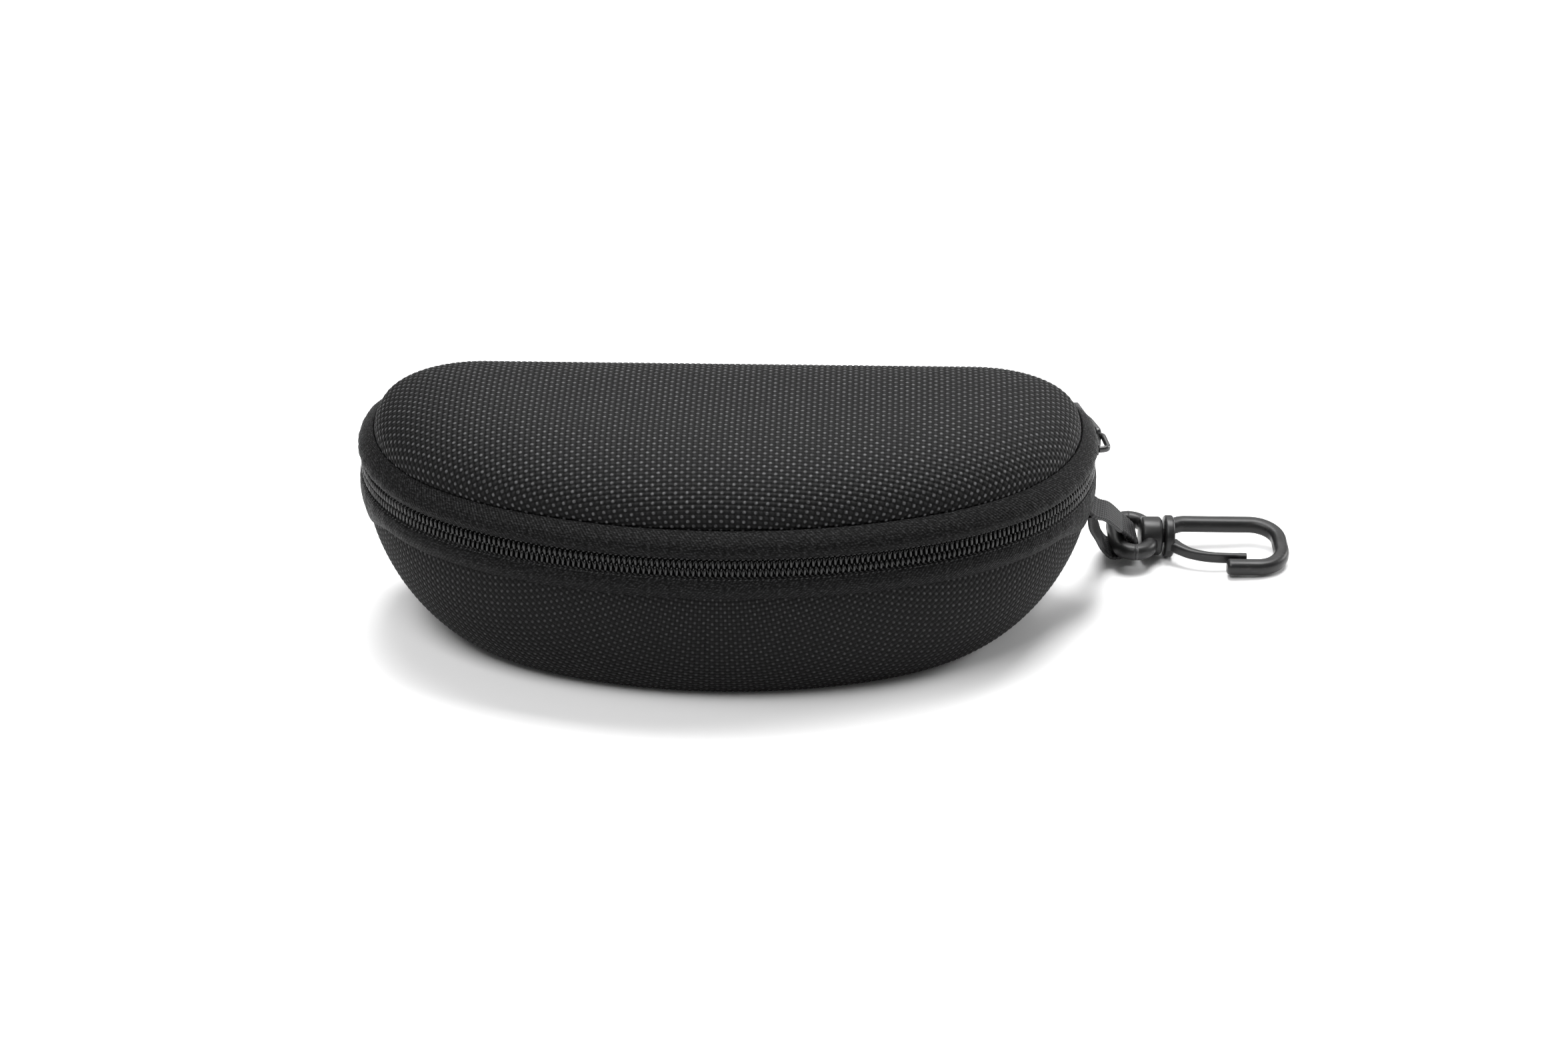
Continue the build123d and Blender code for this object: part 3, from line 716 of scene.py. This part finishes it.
def solid_fabric_material(name, low, high, pitch):
    """Ribbed cloth for CAD nodes without cloth attributes, placed by object position."""
    shader = Shader(name, grey(low), 0.75, Specular_IOR_Level=0.25)
    position = shader.position()
    x, y, z = shader.axes(position)
    waves = [shader.math("SINE", shader.math("MULTIPLY", axis, 2 * math.pi / pitch)) for axis in (x, y, z)]
    ribs = shader.math("ADD", shader.math("ADD", waves[0], waves[1]), waves[2])
    fibre = shader.noise(position, 1200.0, 3.0)
    height = shader.math("MULTIPLY_ADD", ribs, 0.15, fibre)
    shader.colour(shader.mix(shader.spread(height, 0.1, 0.9, 0, 1), grey(low), grey(high)))
    shader.bump(height, 0.4, 0.0001)
    return shader.material


def foam_material():
    """Closed-cell foam, seen only on cut edges."""
    shader = Shader("eva_foam", grey(0.03), 0.9, Specular_IOR_Level=0.2)
    cells = shader.add("ShaderNodeTexVoronoi", {"Vector": shader.position(), "Scale": 2500.0})
    distance = cells.outputs["Distance"]
    shader.colour(shader.mix(distance, grey(0.018), grey(0.045)))
    shader.bump(distance, 0.4, 0.0001)
    return shader.material


def metal_material():
    """Black enamel over die-cast metal, lighter on its sharp edges."""
    shader = Shader("black_enamel", grey(0.012), 0.28, Specular_IOR_Level=0.6)
    # Colour lighter on sharp edges, broken up by spots.
    lighter_edges = shader.spread(shader.add("ShaderNodeNewGeometry").outputs["Pointiness"], 0.53, 0.62, 0.0, 1.0)
    spots = shader.noise(shader.position(), 700.0, 3.0)
    lighter_edges = shader.math("MULTIPLY", lighter_edges, spots)
    shader.colour(shader.mix(lighter_edges, grey(0.01), grey(0.09)))
    shader.rough(shader.spread(spots, 0.3, 0.7, 0.22, 0.36))
    return shader.material


def webbing_material():
    """Coarse matt webbing with fuzzy fibre tone; its floats are painted lighter and the hollows between
    them painted near black, as painted shade.
    """
    shader = Shader("polyester_webbing", grey(0.012), 0.6, Specular_IOR_Level=0.2)
    relief = shader.attribute("relief", "Fac")
    cloth = shader.attribute("cloth")
    fibre = shader.noise(shader.scaled(cloth, (1.0, 6.0, 1.0)), 2.0, 3.0, 0.6)
    # Painted shade: the colour falls towards black where the weave's relief is low.
    tone = shader.math("MULTIPLY", shader.spread(relief, 0.3, 1.0, 0.0, 1.0), fibre)
    shader.colour(shader.mix(tone, grey(0.002), grey(0.075)))
    shader.bump(shader.math("ADD", relief, fibre), 0.5, 0.00012)
    return shader.material


def plastic_material():
    """Satin moulded acetal, lighter on its sharp edges, with faint flow marks and fine scratches."""
    shader = Shader("moulded_acetal", grey(0.013), 0.38, Specular_IOR_Level=0.35)
    position = shader.position()
    point = shader.add("ShaderNodeNewGeometry").outputs["Pointiness"]
    scuffs = shader.noise(position, 450.0, 4.0, 0.7)
    # Colour lighter on sharp edges and along fine scratches, broken up by noise.
    edge = shader.math("MULTIPLY", shader.spread(point, 0.52, 0.6, 0.0, 1.0), scuffs)
    flow = shader.noise(shader.scaled(position, (60.0, 400.0, 400.0)), 1.0, 2.0)
    scratch = shader.noise(shader.scaled(position, (300.0, 2600.0, 2600.0)), 1.0, 1.0)
    fine = shader.spread(scratch, 0.62, 0.7, 0.0, 0.5)
    edges_and_scratches = shader.math("MAXIMUM", edge, shader.math("MULTIPLY", fine, scuffs))
    shader.colour(shader.mix(edges_and_scratches, grey(0.006), grey(0.05)))
    shader.rough(shader.spread(flow, 0.3, 0.7, 0.32, 0.46))
    shader.bump(shader.math("ADD", flow, shader.math("MULTIPLY", scuffs, 0.3)), 0.12, 0.0001)
    return shader.material


def floor_material():
    """White studio table with a barely uneven tone."""
    shader = Shader("white_table", (0.9, 0.9, 0.9), 0.55, Specular_IOR_Level=0.1)
    tone = shader.noise(shader.position(), 3.0)
    shader.colour(shader.mix(tone, (0.9, 0.9, 0.9), (0.92, 0.92, 0.92)))
    return shader.material


# ------------------------------------------------------------------ zip pieces
TAPE_ROWS = {      # (inset, height from the parting plane) from behind the coil to the seam
    True: ((2.05, 0.15), (2.0, 1.0), (1.75, 1.7), (0.75, 2.1), (-0.05, 2.7), (-0.45, 3.6), (-0.4, 4.6),
           (0.15, 5.7), (1.2, 6.8), (2.45, 7.7), (2.95, 7.9), (3.3, 7.4)),
    False: ((2.05, 0.15), (2.0, 1.0), (1.75, 1.7), (0.75, 2.1), (-0.05, 2.8), (-0.3, 3.8), (-0.4, 4.9),
            (-0.1, 6.1), (0.45, 7.1), (0.9, 7.5), (1.35, 7.6), (1.8, 7.0)),
}
SEAM_DROP = 4.0             # how much further down the lower tape reaches round the two ends
SEAM_DROP_INSET = 0.45


def seam_drop(s):
    """Share of the lower tape's extra width, 0 along the front and 1 round the ends."""
    start, full = ARC_ENDS[1] + 14.0, ARC_ENDS[2] - 18.0
    share = np.clip((np.abs(s) - start) / (full - start), 0, 1)
    return share * share * (3 - 2 * share)


def zip_tape(upper):
    """Bulging tape from behind the coil to the seam, with slight puckers along the seam."""
    rows = smooth_curve(np.array(TAPE_ROWS[upper]), 4)
    s = np.arange(-HALF_RIM, HALF_RIM, 0.6)
    offset, height = rows[:, 0][:, None], rows[:, 1][:, None]
    bulge = np.clip(1 - ((height - 4.2) / 3.0) ** 2, 0, 1)
    pucker = 0.05 * np.sin(s * 2 * math.pi / 6.5) + 0.04 * np.sin(s * 2 * math.pi / 2.9 + 1.0)
    if not upper:
        low = np.clip((height - 4.0) / 3.2, 0, 1) * seam_drop(s)[None, :]
        height = height + SEAM_DROP * low
        offset = offset + SEAM_DROP_INSET * low
    sign = 1 if upper else -1
    points = rim_points(s[None, :], offset - bulge * pucker[None, :], sign * height)
    along = path_lengths(rows)
    cloth = np.stack(np.broadcast_arrays(s[None, :], along[:, None], 0.0), -1)
    name = ("upper" if upper else "lower") + "_zip_tape_cloth"
    return grid_object(name, points, attributes={"cloth": cloth}, wrap_columns=True, flip=not upper)


def coil_length():
    """Rim length at which the coils end, on the rear corners."""
    _, cy, radius, first, _ = ARCS[-1]
    heading = math.pi - math.acos((COIL_END_Y - cy) / radius)
    return ARC_ENDS[-2] + (heading - first) * radius


COIL_END = coil_length()
TOOTH_COUNT = int(2 * COIL_END / TOOTH_PITCH)


def zip_coil(upper):
    """Nylon coil: flat bars across the front, returning behind, one turn to a tooth."""
    sign = 1 if upper else -1
    per_turn = 12
    phase = np.arange(TOOTH_COUNT * per_turn) / per_turn
    turn = phase % 1
    angle = turn * 2 * math.pi
    lead = np.where(turn < 0.5, 0.3 * turn, 0.15 + 1.7 * (turn - 0.5))
    shift = 0.0 if upper else 0.5
    s = (np.floor(phase) + lead + shift - TOOTH_COUNT / 2) * TOOTH_PITCH
    height = 0.98 + 0.9 * np.sign(np.cos(angle)) * np.abs(np.cos(angle)) ** 0.8
    offset = 0.82 - 0.5 * np.sign(np.sin(angle)) * np.abs(np.sin(angle)) ** 0.7
    path = rim_points(s, offset, sign * height)
    name = ("upper" if upper else "lower") + "_zip_coil_teeth"
    return grid_object(name, tube(path, COIL_WIRE_R), wrap_columns=True, caps=True)


def coil_stitching(upper):
    """Two thread lines that hold the coil to the tape, one stitch to a tooth."""
    sign = 1 if upper else -1
    s = (np.arange(TOOTH_COUNT) - TOOTH_COUNT / 2 + (0.4 if upper else 0.9)) * TOOTH_PITCH
    centres, directions = [], []
    for height, offset, lean in ((2.15, 0.62, 0.55), (2.6, 0.24, -0.55)):
        points = rim_points(s, offset, sign * height)
        ahead = rim_points(s + 0.5, offset - 0.1, sign * (height + lean * 0.5))
        centres.append(points)
        directions.append(unit(ahead - points))
    name = ("upper" if upper else "lower") + "_coil_stitching"
    return capsules(name, np.concatenate(centres), np.concatenate(directions), 1.05, STITCH_R)


# ------------------------------------------------------------------ hinge
def hinge_cloth():
    """Strip of the shell cloth across the back, sewn to both tapes."""
    columns = int(2 * HINGE_HALF_LENGTH / WARP_PITCH) * WEAVE_STEPS
    rows = int(2 * HINGE_HALF_HEIGHT / WEFT_PITCH) * WEAVE_STEPS
    u = np.arange(columns + 1) / WEAVE_STEPS
    v = np.arange(rows + 1) / WEAVE_STEPS
    grid_u, grid_v = np.meshgrid(u, v)
    relief = plain_weave(grid_u, grid_v)
    x = HINGE_HALF_LENGTH - grid_u * 2 * HINGE_HALF_LENGTH / u[-1]
    z = PARTING_Z - HINGE_HALF_HEIGHT + grid_v * 2 * HINGE_HALF_HEIGHT / v[-1]
    edge_x = np.clip((HINGE_HALF_LENGTH - np.abs(x)) / 1.2, 0, 1)
    edge_z = np.clip((HINGE_HALF_HEIGHT - np.abs(z - PARTING_Z)) / 1.2, 0, 1)
    swell = np.sqrt(np.clip(1 - (1 - np.minimum(edge_x, edge_z)) ** 2, 0, 1))
    y = BACK_Y + HINGE_GAP + HINGE_T * swell - WEAVE_DEPTH * (1 - relief) * swell
    points = np.stack([x, y, z], -1)
    cloth = np.stack([grid_u, grid_v, np.zeros_like(grid_u)], -1)
    return grid_object("hinge_cloth", points, attributes={"cloth": cloth, "relief": relief})


def hinge_stitching(upper):
    """One row of lockstitches along an edge of the hinge strip."""
    sign = 1 if upper else -1
    count = int(2 * (HINGE_HALF_LENGTH - 3) / HINGE_STITCH_PITCH)
    x = (np.arange(count + 1) - count / 2) * HINGE_STITCH_PITCH
    z = PARTING_Z + sign * (HINGE_HALF_HEIGHT - HINGE_STITCH_EDGE)
    y = BACK_Y + HINGE_GAP + HINGE_T + 0.08
    centres = np.stack([x, np.full_like(x, y), np.full_like(x, z)], -1)
    directions = np.tile((1.0, 0.0, 0.04), (len(x), 1))
    name = ("upper" if upper else "lower") + "_hinge_thread"
    return capsules(name, centres, directions, HINGE_STITCH_LENGTH, 0.24, 10)


# ------------------------------------------------------------------ slider and pull
def slider_matrix():
    """Frame on the rim at the slider: +X along its travel, -Y outwards, +Z up."""
    cx, cy, radius = ARCS[SLIDE_ARC][:3]
    h = math.radians(SLIDER_HEADING)
    matrix = Matrix.Rotation(h, 4, "Z")
    matrix.translation = (cx + radius * math.sin(h), cy - radius * math.cos(h), PARTING_Z)
    return matrix


def plate_outline(length, height, nose, corner=1.0):
    """Slider plate seen from outside: rounded, and drawn in at both ends."""
    corners = (
        (-length / 2, 0.0, 0.0), (-length / 2, -height * nose, corner), (0.0, -height, 3 * corner),
        (length / 2, -height * nose, corner), (length / 2, height * nose, corner),
        (0.0, height, 3 * corner), (-length / 2, height * nose, corner), (-length / 2, 0.0, 0.0),
    )
    return round_path(corners, 0.3)[:-1]


def bevelled_prism(name, outline, low, high, bevel, curve_r):
    """Plate from an outline (x, z) between two depths outwards, bowed and with rounded edges."""
    centre = outline.mean(0)
    turn = np.linspace(0, math.pi / 2, 5)
    rows = [(low + bevel * (1 - math.cos(t)), bevel * (1 - math.sin(t))) for t in turn]
    rows += [(high - bevel * (1 - math.cos(t)), bevel * (1 - math.sin(t))) for t in turn[::-1]]
    reach = np.linalg.norm(outline - centre, axis=1, keepdims=True)
    points = []
    for depth, shrink in rows:
        ring = centre + (outline - centre) * (1 - shrink / reach)
        bow = ring[:, 0] ** 2 / (2 * curve_r)
        points.append(np.stack([ring[:, 0], bow - depth, ring[:, 1]], -1))
    return grid_object(name, np.array(points), wrap_columns=True, caps=True)


def slider_body():
    """Outer and inner plates joined by a thin post between the coils."""
    radius = ARCS[SLIDE_ARC][2]
    outer = bevelled_prism("slider_outer", plate_outline(8.4, 2.2, 0.62), SLIDER_OUT,
                           SLIDER_OUT + SLIDER_PLATE_T, 0.3, radius)
    inner = bevelled_prism("slider_inner", plate_outline(6.4, 1.6, 0.7), -3.1, -2.3, 0.25, radius)
    post = bevelled_prism("slider_post", plate_outline(3.0, 0.4, 0.9, 0.15), -2.6, SLIDER_OUT + 0.3, 0.05,
                          radius)
    return place(joined("zip_slider_plates", [outer, inner, post]), slider_matrix())


def slider_bridge():
    """Round-wire arch on the outer plate, which the pull hangs on."""
    base = SLIDER_OUT + SLIDER_PLATE_T - 0.2
    top = SLIDER_OUT + SLIDER_PLATE_T + BRIDGE_RISE - 0.45
    arch = round_path(((-3.6, -base, 0), (-3.5, -top, 1.2), (3.5, -top, 1.2), (3.6, -base, 0)), 0.25)
    section = bar_section(BRIDGE_WIRE_R, 16, 2.6)
    section[:, 1] *= BRIDGE_WIRE_FLAT
    obj = flat_sweep("zip_slider_arch", arch, section)
    return place(obj, slider_matrix())


def closed_loop(corners):
    """Closed outline through (x, z, radius) corners, from a first one on a straight side."""
    path = round_path(corners + corners[:1], 0.2)
    lengths = path_lengths(path)
    at = np.linspace(0, lengths[-1], PULL_OUTLINE_POINTS, endpoint=False)
    return np.stack([np.interp(at, lengths, path[:, k]) for k in range(2)], -1)


def pull_tab():
    """Stamped pull with a slot that takes the bridge and a waisted, rounded grip."""
    h = PULL_HALF_HEIGHT
    outer = closed_loop(((PULL_LENGTH, 0.0, 0), (PULL_LENGTH, h, 1.9), (9.0, 0.8 * h, 6.0), (5.5, h, 4.0),
                         (-0.7, h, 0.9), (-0.7, -h, 0.9), (5.5, -h, 4.0), (9.0, -0.8 * h, 6.0),
                         (PULL_LENGTH, -h, 1.9)))
    inner = closed_loop(((6.2, 0.0, 0), (6.2, 1.05, 0.6), (0.7, 1.05, 0.5), (0.7, -1.05, 0.5),
                         (6.2, -1.05, 0.6)))
    edge = 0.3
    rows = []
    for loop, sign in ((outer, -1), (inner, 1)):
        along = unit(np.roll(loop, -1, 0) - np.roll(loop, 1, 0))
        out = np.stack([along[:, 1], -along[:, 0]], -1)
        turn = np.linspace(0, math.pi / 2, 4)
        low = [(-PULL_HALF_T + edge * (1 - math.cos(t)), edge * (1 - math.sin(t))) for t in turn]
        profile = low + [(-depth, shrink) for depth, shrink in reversed(low)]
        layers = [(loop + sign * out * shrink, depth) for depth, shrink in profile]
        rows += layers if sign < 0 else layers[::-1]
    points = np.array([np.stack([xz[:, 0], np.full(len(xz), y), xz[:, 1]], -1) for xz, y in rows])
    obj = grid_object("zip_pull", points, wrap_rows=True, wrap_columns=True)
    cx, cy, radius = ARCS[SLIDE_ARC][:3]
    heading = math.radians(SLIDER_HEADING) + PIN_ALONG / radius
    out = radius + SLIDER_OUT + SLIDER_PLATE_T + (BRIDGE_RISE - 0.8) / 2
    matrix = Matrix.Rotation(math.radians(PULL_DIRECTION), 4, "Z")
    matrix.translation = (cx + out * math.sin(heading), cy - out * math.cos(heading), PARTING_Z)
    return place(obj, matrix)


# ------------------------------------------------------------------ webbing, eye and hook
def hook_matrix(roll):
    """Placement of the swivel's own frame on the table."""
    matrix = (
        Matrix.Rotation(math.radians(HOOK_YAW), 4, "Z")
        @ Matrix.Rotation(math.radians(HOOK_PITCH), 4, "Y")
        @ Matrix.Rotation(math.radians(roll), 4, "X")
    )
    matrix.translation = HOOK_ORIGIN
    return matrix


def webbing_loop():
    """Folded webbing from the seam under the tape, round the eye's far bar and back."""
    to_case = hook_matrix(EYE_ROLL)
    bar = to_case @ Vector((EYE_FAR_X, 0, 0))
    across_end = (to_case @ Vector((EYE_FAR_X, 1, 0)) - bar).normalized()
    across_root = WEB_ROOT_ACROSS.normalized()
    stations = [(WEB_ROOT + Vector(WEB_TUCK), 0.0)]
    stations += [(WEB_ROOT + Vector(offset), turn) for offset, turn in WEB_FROM_ROOT]
    stations += [(bar + Vector(offset), turn) for offset, turn in WEB_ROUND_BAR]
    stations += [(WEB_ROOT + Vector(offset), turn) for offset, turn in WEB_BACK_TO_ROOT]
    rows = np.array([(*centre, *(across_root * (1 - t) + across_end * t)) for centre, t in stations])
    rows = resampled(smooth_curve(rows, 16), WEB_PITCH / WEAVE_STEPS, axes=3)
    centre, across = rows[:, :3], unit(rows[:, 3:])
    normal = unit(np.cross(np.gradient(centre, axis=0), across))
    section, around = webbing_section()
    v = np.arange(len(centre)) / WEAVE_STEPS
    relief = plain_weave(around[None, :], v[:, None])
    sunk = 1 - WEB_RELIEF * (1 - relief) * np.clip(np.abs(section[:, 1]) / 0.4, 0.35, 1)
    fray = 1 + 0.012 * np.sin(v[:, None] * math.pi * 2)
    points = (
        centre[:, None]
        + across[:, None] * section[None, :, :1] * fray[..., None]
        + normal[:, None] * (section[:, 1][None, :] * sunk)[..., None]
    )
    cloth = np.stack(np.broadcast_arrays(around[None, :], v[:, None], 0.0), -1)
    attributes = {"cloth": cloth, "relief": relief}
    return grid_object("hook_webbing", points, attributes=attributes, wrap_columns=True, caps=True)


def webbing_section():
    """Rounded flat section and the thread count round it."""
    half_w, half_t = WEB_W / 2, WEB_T / 2
    threads = round(WEB_W / WEB_PITCH)
    x = np.linspace(-half_w + 0.25, half_w - 0.25, threads * WEAVE_STEPS + 1)
    top = np.stack([x, np.full_like(x, half_t)], -1)
    ends = np.array(((half_w - 0.08, half_t * 0.7), (half_w, 0.0), (half_w - 0.08, -half_t * 0.7)))
    section = np.concatenate([top, ends, -top, -ends])
    around = np.concatenate([
        np.linspace(0, threads, len(x)), threads + np.array((0.25, 0.5, 0.75)),
        threads + 1 + np.linspace(0, threads, len(x)), 2 * threads + 1 + np.array((0.25, 0.5, 0.75)),
    ])
    return section, around


def swivel_eye():
    """Closed oval eye moulded with the round block that turns on the hook's stem."""
    near_x = -COLLAR_T / 2 - EYE_GAP
    block = lathe("eye_block", rounded_profile(near_x - EYE_BLOCK_LENGTH, near_x, EYE_BLOCK_R, 0.9,
                                               STEM_R + 0.05))
    bar_x = near_x - EYE_BLOCK_LENGTH + BAR_R
    half = EYE_HALF_W
    path = round_path(((bar_x, 2.0, 0), (bar_x, half, 4.0), (EYE_FAR_X, half, 4.0),
                       (EYE_FAR_X, -half, 4.0), (bar_x, -half, 4.0), (bar_x, -2.0, 0)))
    bar = flat_sweep("eye_bar", path, bar_section(BAR_R, 28, 2.3, 0.012))
    return place(joined("swivel_eye_moulding", [block, bar]), hook_matrix(EYE_ROLL))


def snap_hook():
    """Collar with its stem, straight spine, rounded end and nose, in one moulding."""
    collar = lathe("hook_collar", rounded_profile(-COLLAR_T / 2, COLLAR_T / 2, COLLAR_R, 0.6, 0.3))
    head_x = -COLLAR_T / 2 - EYE_GAP - EYE_BLOCK_LENGTH + 1.0
    stem = lathe("hook_stem", ((head_x, 0.1), (head_x, STEM_R), (0.0, STEM_R), (0.0, 0.1)), 32)
    head = lathe("hook_stem_head", rounded_profile(head_x - 0.6, head_x + 0.6, 2.5, 0.25, 0.1), 32)
    loop = flat_sweep("hook_loop", round_path(HOOK_PATH), bar_section(BAR_R, 36, 2.5, 0.012), True)
    return place(joined("snap_hook_moulding", [collar, stem, head, loop]), hook_matrix(HOOK_ROLL))


def gate_tongue():
    """Springy tongue, thick where it leaves the collar and stepped at its tip."""
    path = resampled(smooth_curve(np.array(GATE_PATH), 16), 0.3)
    along = np.linspace(0, 1, len(path))
    half_t = 0.8 + 0.95 * (1 - along) ** 4 + 0.18 * np.clip((along - 0.86) / 0.05, 0, 1)
    section = bar_section(1.0, 24, 4.0)
    tangent = unit(np.gradient(path, axis=0))
    side = np.stack([-tangent[:, 1], tangent[:, 0]], -1)
    xy = path[:, None] + side[:, None] * section[None, :, :1] * half_t[:, None, None]
    z = np.broadcast_to(section[None, :, 1:] * 1.5, xy.shape[:2] + (1,))
    obj = grid_object("hook_gate_tongue", np.concatenate([xy, z], -1), wrap_columns=True, caps=True)
    return place(obj, hook_matrix(HOOK_ROLL))


# ------------------------------------------------------------------ assembly
def add_shells():
    cloth = ballistic_material("ballistic_nylon", 0.115)
    # The lower shell takes the same nylon painted darker, as painted shade.
    under = ballistic_material("ballistic_nylon_painted_shade", 0.048)
    pitch = (WARP_PITCH, WEFT_PITCH)
    upper = shell_cloth("upper_shell_cloth", True, 0.0, pitch, WEAVE_STEPS, WEAVE_DEPTH)
    finish_piece(upper, "lid", cloth, ["upper_shell_fabric"])
    lower = shell_cloth("lower_shell_cloth", False, 0.0, pitch, WEAVE_STEPS, WEAVE_DEPTH, dents=DENTS)
    finish_piece(lower, "base", under, ["lower_shell_fabric"])
    return cloth


def add_linings():
    material = lining_material()
    for upper, body in ((True, "lid"), (False, "base")):
        name = "upper_lining" if upper else "lower_lining"
        piece = shell_cloth(name + "_cloth", upper, WALL_T + LINING_GAP, (1.5, 1.5), 1, 0.0, inward=True)
        finish_piece(piece, body, material, [name])


def add_zip():
    tape, coil, thread = tape_material(), coil_material(), thread_material()
    for upper, body in ((True, "lid"), (False, "base")):
        side = "upper" if upper else "lower"
        finish_piece(zip_tape(upper), body, tape, [side + "_zip_tape"])
        finish_piece(zip_coil(upper), body, coil, [side + "_zip_coil"])
        finish_piece(coil_stitching(upper), body, thread)
        finish_piece(hinge_stitching(upper), body, thread, [side + "_hinge_stitching"])


def add_hinge(cloth):
    strip = finish_piece(hinge_cloth(), None, cloth, ["hinge_fabric"])
    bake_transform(strip)


def add_slider(metal):
    finish_piece(slider_body(), "slider", metal, ["zip_slider_body"])
    finish_piece(slider_bridge(), "slider", metal, ["zip_slider_bridge"])
    finish_piece(pull_tab(), "pull", metal, ["pull_tab"])


def add_hook():
    plastic = plastic_material()
    finish_piece(webbing_loop(), "strap", webbing_material(), ["webbing_loop"])
    finish_piece(swivel_eye(), "eye", plastic, ["swivel_eye"])
    finish_piece(snap_hook(), "hook", plastic, ["snap_hook"])
    finish_piece(gate_tongue(), "gate", plastic, ["hook_gate"])


def dress_cad_nodes(metal):
    """Better materials for the CAD nodes that stay."""
    foam = foam_material()
    binding = solid_fabric_material("ribbed_binding", 0.008, 0.03, 0.0006)
    materials = {
        "lower_shell_foam": foam, "upper_shell_foam": foam,
        "lower_edge_binding": binding, "upper_edge_binding": binding, "hinge_inner_strip": binding,
        "lower_end_stop": metal, "upper_end_stop": metal, "bottom_stop": metal,
    }
    for name, material in materials.items():
        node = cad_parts[name]
        for slot in node.material_slots:
            slot.material = material


def add_stage():
    bpy.ops.mesh.primitive_plane_add(size=8.0, location=(0, 0, 0))
    floor = bpy.context.object
    floor.name = "table"
    floor.data.materials.append(floor_material())


def add_light(name, location, size, energy):
    light = bpy.data.lights.new(name, "AREA")
    light.shape = "RECTANGLE"
    light.size, light.size_y = size
    light.energy = energy
    obj = bpy.data.objects.new(name, light)
    obj.location = location
    direction = LIGHT_TARGET - Vector(location)
    obj.rotation_euler = direction.to_track_quat("-Z", "Y").to_euler()
    bpy.context.scene.collection.objects.link(obj)


def add_lights():
    for light in LIGHTS:
        add_light(*light)
    world = bpy.data.worlds.new("studio")
    world.use_nodes = True
    background = world.node_tree.nodes["Background"]
    background.inputs["Color"].default_value = (1, 1, 1, 1)
    background.inputs["Strength"].default_value = WORLD_STRENGTH
    bpy.context.scene.world = world


def add_camera():
    camera = bpy.data.cameras.new("camera")
    camera.lens = CAMERA_LENS
    camera.sensor_width = 36.0
    camera.clip_end = 20.0
    obj = bpy.data.objects.new("camera", camera)
    elevation, turn = math.radians(CAMERA_ELEVATION), math.radians(CAMERA_TURN)
    obj.rotation_euler = (math.pi / 2 - elevation, 0, turn)
    back = obj.rotation_euler.to_matrix() @ Vector((0, 0, 1))
    obj.location = (CAMERA_TARGET + back * CAMERA_DISTANCE) * MM
    bpy.context.scene.collection.objects.link(obj)
    bpy.context.scene.camera = obj


bpy.context.scene.view_settings.view_transform = "Standard"
add_camera()
shell_material = add_shells()
add_linings()
add_zip()
add_hinge(shell_material)
enamel = metal_material()
add_slider(enamel)
add_hook()
dress_cad_nodes(enamel)
add_stage()
add_lights()
